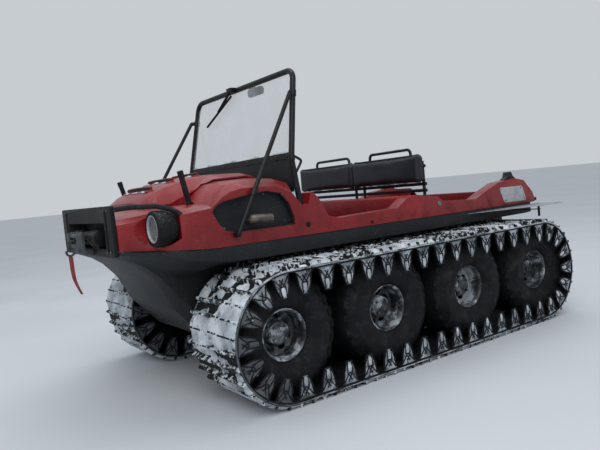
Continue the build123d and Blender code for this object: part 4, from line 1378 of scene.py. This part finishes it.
# Fifteen turns of rope on the drum, each one rope's width further on
parts = []
for y in range(-70, 80, 10):
    ring = []
    for i, (c, s) in enumerate(turns(28)):
        ring.append(at(1640 + 31 * c, y + 4.0 * i / 28, 874 + 31 * s))
    ring.append(ring[0] + Vector((0, 0.004, 0)))
    parts.append(shaded(tube(ring, 0.0048), 0, 60.0))
show("winch_rope", parts, [dark_steel])

parts = []
for x, z, r in ((-296, 850, 16), (265, 799, 9), (709, 837, 14)):
    for s in (1, -1):
        parts.append(disc((x, s * 649, z), (0, s, 0), r, 6, 0 if x < 0 else 1, 24))
        parts.append(disc((x, s * 653.5, z), (0, s, 0), r * 0.4, 1.4, 1, 12))
show("flank_caps", parts, [cap_finish, satin], ["side_caps"])

# The blank plate on the rear corner of the left flank
plate_corners = [(-892, 900), (-1145, 897), (-1185, 792), (-938, 795)]
plate_x = sum(x for x, _ in plate_corners) / 4
plate_z = sum(z for _, z in plate_corners) / 4
corner_cut = 12
rows = []
for lift, shrink in ((0.0, 1.0), (2.0, 1.0), (2.8, 0.95)):
    ring = []
    for i, (x, z) in enumerate(plate_corners):
        for next_x, next_z in (plate_corners[i - 1], plate_corners[(i + 1) % 4]):
            share = corner_cut / hypot(next_x - x, next_z - z)
            cut_x, cut_z = x + (next_x - x) * share, z + (next_z - z) * share
            edge_x, edge_z = (cut_x - plate_x) * shrink, (cut_z - plate_z) * shrink
            ring.append(at(plate_x + edge_x, 650.2 + lift, plate_z + edge_z))
    rows.append(ring)
parts = [shaded(facets(rows, "corner_plate"), 0)]
for (x, z), (dx, dz) in zip(plate_corners, ((-16, -14), (18, -14), (22, 14), (-10, 14))):
    parts.append(disc((x + dx, 652.6, z + dz), (0, 1, 0), 4.5, 2.2, 1, 12))
show("corner_plate", parts, [white_plate, steel])


# ---------------------------------------------------------------- vents and rim of the lid

lid_faces = faces_of(nodes["hood_lid"].data)


def on_lid(x, y):
    """The point of the lid's top face above x and y."""
    return lid_faces.ray_cast(at(x, y, 1400), -up)[0] or at(x, y, 1100)


parts = []
for slot_x in (1365, 1240, 1090):
    # The rear lip, a painted-shade strip in the mouth before it and the front lip: place, rise,
    # width and slot
    for shift, rise, wide, slot in (
        (-17, 0.018, 0.010, 0),
        (-10.5, 0.015, 0.003, 1),
        (15, 0.0045, 0.010, 0),
    ):
        lift = up * (rise / 2 - 0.002)
        for y0, y1 in ((-172, -90), (-90, 0), (0, 90), (90, 172)):
            start, end = on_lid(slot_x + shift, y0), on_lid(slot_x + shift, y1)
            parts.append(beam(start + lift, end + lift, wide, rise + 0.004, slot))
    for y in (-172, 172):
        parts.append(beam(on_lid(slot_x - 20, y), on_lid(slot_x + 18, y), 0.010, 0.010))
    for y0, y1, seed in ((158, 84, 11.0), (60, -30, 12.0), (-70, -150, 13.0)):
        start, end = on_lid(slot_x + 13, y0), on_lid(slot_x + 13, y1)
        ends = [((p - at(0, 0, 0)) * 1000)[:] for p in (start, end)]
        parts.append(snow_ridge(*ends, 26, 13, seed + slot_x, 2))
show("vent_lips", parts, [red, dark_hollow, snow], body="hood")

# The lid's turned-down rim, where its edge stands off the deck: x and y of the edge
edge_rows = [(1082, 350), (1200, 350), (1320, 340), (1390, 330), (1470, 302)]
steps = 8
parts = []
for s in (1, -1):
    rows = []
    for (x0, y0), (x1, y1) in zip(edge_rows, edge_rows[1:]):
        for step in range(steps):
            x, y = x0 + (x1 - x0) * step / steps, y0 + (y1 - y0) * step / steps - 4.5
            under = lid_faces.ray_cast(at(x, s * y, 900), up)[0]
            deck = body_faces.ray_cast(at(x, s * y, 1400), -up)[0]
            if under and deck and 0.0 < under.z - deck.z < 0.08:
                top, foot = under.z + 0.0015, min(deck.z + 0.0025, under.z)
                near, far = at(x, s * (y + 1.6), 0), at(x, s * (y - 1.6), 0)
                ring = ((near, foot), (near, top), (far, top), (far, foot))
                rows.append([Vector((q.x, q.y, z)) for q, z in ring])
    if len(rows) > 1:
        parts.append(shaded(facets(rows, "lid_rim"), 0))
show("lid_rim", parts, [red], body="hood")


# ---------------------------------------------------------------- rear ledge and seal

parts = [
    beam(at(-1190.5, 566, 866.5), at(-1190.5, -566, 866.5), 0.077, 0.005, 0),
    beam(at(-1259, 644, 774.6), at(-1259, -644, 774.6), 0.046, 0.003, 1),
]
show("rear_ledge", parts, [red, black])


# ---------------------------------------------------------------- screws

# Each screw's place and its turn from facing up
heads = []
for s in (1, -1):
    outward = (-s * pi / 2, 0, 0)
    for x in (1590, 1640):
        heads += [(at(x, s * 431, 1008), outward), (at(x, s * 431, 812), outward)]
    for x, z in ((845, 872), (1010, 872), (1195, 872), (850, 1004), (960, 1016)):
        heads.append((at(x, s * 641, z), outward))
    for x in (-1290, -1160, -900, -700, -600):
        heads.append((at(x, s * 668, 760), (0, 0, 0)))
    for y in (560, 450, 300, 150):
        heads.append((at(742, s * y, 1205), (0, pi / 2, 0)))
    for y in (345, 390):
        for z in (1008, 812):
            heads.append((at(1666, s * y, z), (0, pi / 2, 0)))
shape = bmesh.new()
bmesh.ops.create_cone(
    shape, cap_ends=True, segments=12, radius1=0.0062, radius2=0.0044, depth=0.003
)
bmesh.ops.translate(shape, verts=shape.verts, vec=(0, 0, 0.0012))
screws = shaded(set_out(new_mesh(shape, "screw_head"), heads, steel), 0)
show("screw_heads", [screws], [steel])


# ---------------------------------------------------------------- seats


def stuffed(low, high, voxel, puff):
    """A padded block blown up by a short cloth simulation, from low to high."""
    centre, half = (low + high) / 2, (high - low) / 2
    shape = bmesh.new()
    bmesh.ops.create_cube(shape, size=2.0)
    for vert in shape.verts:
        vert.co = [centre[i] + vert.co[i] * max(half[i] - puff, half[i] * 0.55) for i in range(3)]
    bmesh.ops.bevel(
        shape, geom=shape.edges[:], offset=0.016, segments=3, affect="EDGES", clamp_overlap=True
    )
    helper = linked("pad_helper", new_mesh(shape, "pad"))
    remesh = helper.modifiers.new("remesh", "REMESH")
    remesh.mode = "VOXEL"
    remesh.voxel_size = voxel
    skin = applied(helper)
    last_frame = 20
    scene = bpy.context.scene
    soft = linked("soft_helper", skin)
    rest = [v.co.copy() for v in skin.vertices]
    cloth = soft.modifiers.new("cloth", "CLOTH")
    cloth.settings.use_pressure = True
    cloth.settings.uniform_pressure_force = 4.0
    cloth.settings.effector_weights.gravity = 0.0
    cloth.point_cache.frame_start = 1
    cloth.point_cache.frame_end = last_frame
    for step in range(1, last_frame + 1):
        scene.frame_set(step)
    skin = applied(soft)
    scene.frame_set(1)
    for vert, start in zip(skin.vertices, rest):
        move = vert.co - start
        if move.length > puff:
            vert.co = start + move.normalized() * puff
    helper = linked("pad_helper", skin)
    rounding = helper.modifiers.new("round", "SUBSURF")
    rounding.levels = 1
    rounding.render_levels = 1
    result = applied(helper)
    # The cover is pulled taut over the pad's full size
    for i in range(3):
        least = min(vert.co[i] for vert in result.vertices)
        most = max(vert.co[i] for vert in result.vertices)
        for vert in result.vertices:
            share = (vert.co[i] - least) / (most - least)
            vert.co[i] = low[i] + (high[i] - low[i]) * share
    return shaded(result, 0, 60.0)


def piping(pad, low, high, x):
    """A sewn edge round a pad's face near x, lying on the pad's own skin."""
    skin = faces_of(pad)
    corner = 0.030
    route = []
    for y, z, first in (
        (high.y - corner, high.z - corner, 0),
        (low.y + corner, high.z - corner, 90),
        (low.y + corner, low.z + corner, 180),
        (high.y - corner, low.z + corner, 270),
    ):
        for step in range(6):
            turn = radians(first + 90 * step / 5)
            edge = Vector((x, y + corner * cos(turn), z + corner * sin(turn)))
            route.append(skin.find_nearest(edge)[0])
    route.append(route[0])
    return shaded(tube(route, 0.0030), 0, 60.0)


low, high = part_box("seat_backs")
gap = 0.0015
parts = []
for s in (1, -1):
    pad_low = Vector((low.x, gap if s > 0 else low.y, low.z))
    pad_high = Vector((high.x, high.y if s > 0 else -gap, high.z))
    pad = stuffed(pad_low, pad_high, 0.007, 0.008)
    parts.append(pad)
    for face_x in (high.x - 0.012, low.x + 0.012):
        parts.append(piping(pad, pad_low, pad_high, face_x))
backs = show("back_pads", parts, [seat_finish], ["seat_backs"])

low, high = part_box("bench_cushion")
parts = [stuffed(low.copy(), high.copy(), 0.011, 0.010)]
bench = show("bench_pad", parts, [seat_finish], ["bench_cushion"])


# ---------------------------------------------------------------- the pull strap

strap_points = [
    Vector((1.537, 0.0, 0.7897)),
    Vector((1.537, 0.0, 0.7017)),
    Vector((1.525, 0.0, 0.6417)),
    Vector((1.503, 0.0, 0.5907)),
]
strap_curve = bpy.data.curves.new("strap_line", "CURVE")
strap_curve.dimensions = "3D"
strap_curve.resolution_u = 16
line = strap_curve.splines.new("NURBS")
line.points.add(len(strap_points) - 1)
for point, where in zip(line.points, strap_points):
    point.co = (*where, 1.0)
line.order_u = 3
line.use_endpoint_u = True
strap_path = [v.co.copy() for v in applied(linked("strap_line", strap_curve)).vertices]

# The band's section: places across it and out of its face
half_section = [(0.0114, 0.0013), (0.0060, 0.0015), (0.0, 0.0011), (-0.0060, 0.0015)]
half_section.append((-0.0114, 0.0013))
section = [(0.0120, 0.0)] + half_section + [(-0.0120, 0.0)]
section += [(y, -h) for y, h in reversed(half_section)]
last = len(strap_path) - 1
rows = []
for i, where in enumerate(strap_path):
    along = (strap_path[min(i + 1, last)] - strap_path[max(i - 1, 0)]).normalized()
    # The band turns a little about its own line as it hangs
    turn = radians(50 - 38 * i / last)
    across = Vector((-sin(turn), cos(turn), 0))
    across = (across - along * across.dot(along)).normalized()
    face = along.cross(across).normalized()
    rows.append([where + across * y + face * h for y, h in section])
parts = [shaded(facets(rows, "strap_band"), 0)]
strap = show("strap_band", parts, [strap_finish], ["pull_strap"])


# ---------------------------------------------------------------- stage, light, camera

reach = 150
floor_corners = [(-reach, -reach, 0), (reach, -reach, 0), (reach, reach, 0), (-reach, reach, 0)]
floor_mesh = mesh_of(floor_corners, [(0, 1, 2, 3)], "floor")
floor = linked("floor", floor_mesh)
paper = Finish("pale_floor")
tint = paper.noise(0.6, 2.0).ramp(0.3, 0.7)
paper.colour(paper.mix(tint, rgb(186, 190, 194), rgb(192, 196, 200)))
paper.set(roughness=0.9)
floor_mesh.materials.append(paper.material)

# A soft even sky that lights the object, and a plain one that the camera and mirrors see
world = bpy.data.worlds.new("studio")
bpy.context.scene.world = world
world.use_nodes = True
tree = world.node_tree
tree.nodes.clear()
out = tree.nodes.new("ShaderNodeOutputWorld")
light_mix = tree.nodes.new("ShaderNodeMixShader")
path = tree.nodes.new("ShaderNodeLightPath")
for place, colour, strength in ((1, rgb(226, 231, 238), 0.92), (2, rgb(199, 204, 208), 1.0)):
    sky = tree.nodes.new("ShaderNodeBackground")
    sky.inputs["Color"].default_value = colour
    sky.inputs["Strength"].default_value = strength
    tree.links.new(sky.outputs[0], light_mix.inputs[place])
kind = path.outputs["Is Camera Ray"]
for other in ("Is Glossy Ray", "Is Transmission Ray"):
    either = tree.nodes.new("ShaderNodeMath")
    either.operation = "MAXIMUM"
    tree.links.new(kind, either.inputs[0])
    tree.links.new(path.outputs[other], either.inputs[1])
    kind = either.outputs[0]
tree.links.new(kind, light_mix.inputs["Fac"])
tree.links.new(light_mix.outputs[0], out.inputs["Surface"])


def softbox(name, place, size, power):
    """A square lamp that shines at the object's middle."""
    data = bpy.data.lights.new(name, "AREA")
    data.shape = "SQUARE"
    data.size = size
    data.energy = power
    lamp = linked(name, data)
    lamp.location = place
    aim = Vector((0, 0, 0.7)) - Vector(place)
    lamp.rotation_euler = aim.to_track_quat("-Z", "Y").to_euler()


softbox("key", (4.0, 5.0, 6.0), 5.0, 270.0)
softbox("top", (-1.0, -1.0, 7.0), 6.0, 160.0)

camera_data = bpy.data.cameras.new("camera")
camera_data.sensor_width = 36.0
camera_data.lens = 36.23
camera = linked("camera", camera_data)
# The camera's place and its axes, as solved from the photograph's sizes
right = Vector((-0.81192, 0.57588, -0.09564))
down = Vector((0.11399, -0.00427, -0.99347))
forward = Vector((-0.57253, -0.81753, -0.06218))
axes = Matrix((right, -down, -forward)).transposed().to_4x4()
camera.matrix_world = Matrix.Translation((2.334, 3.196, 1.032)) @ axes
bpy.context.scene.camera = camera
bpy.context.scene.view_settings.view_transform = "Standard"

low, high = cad_box
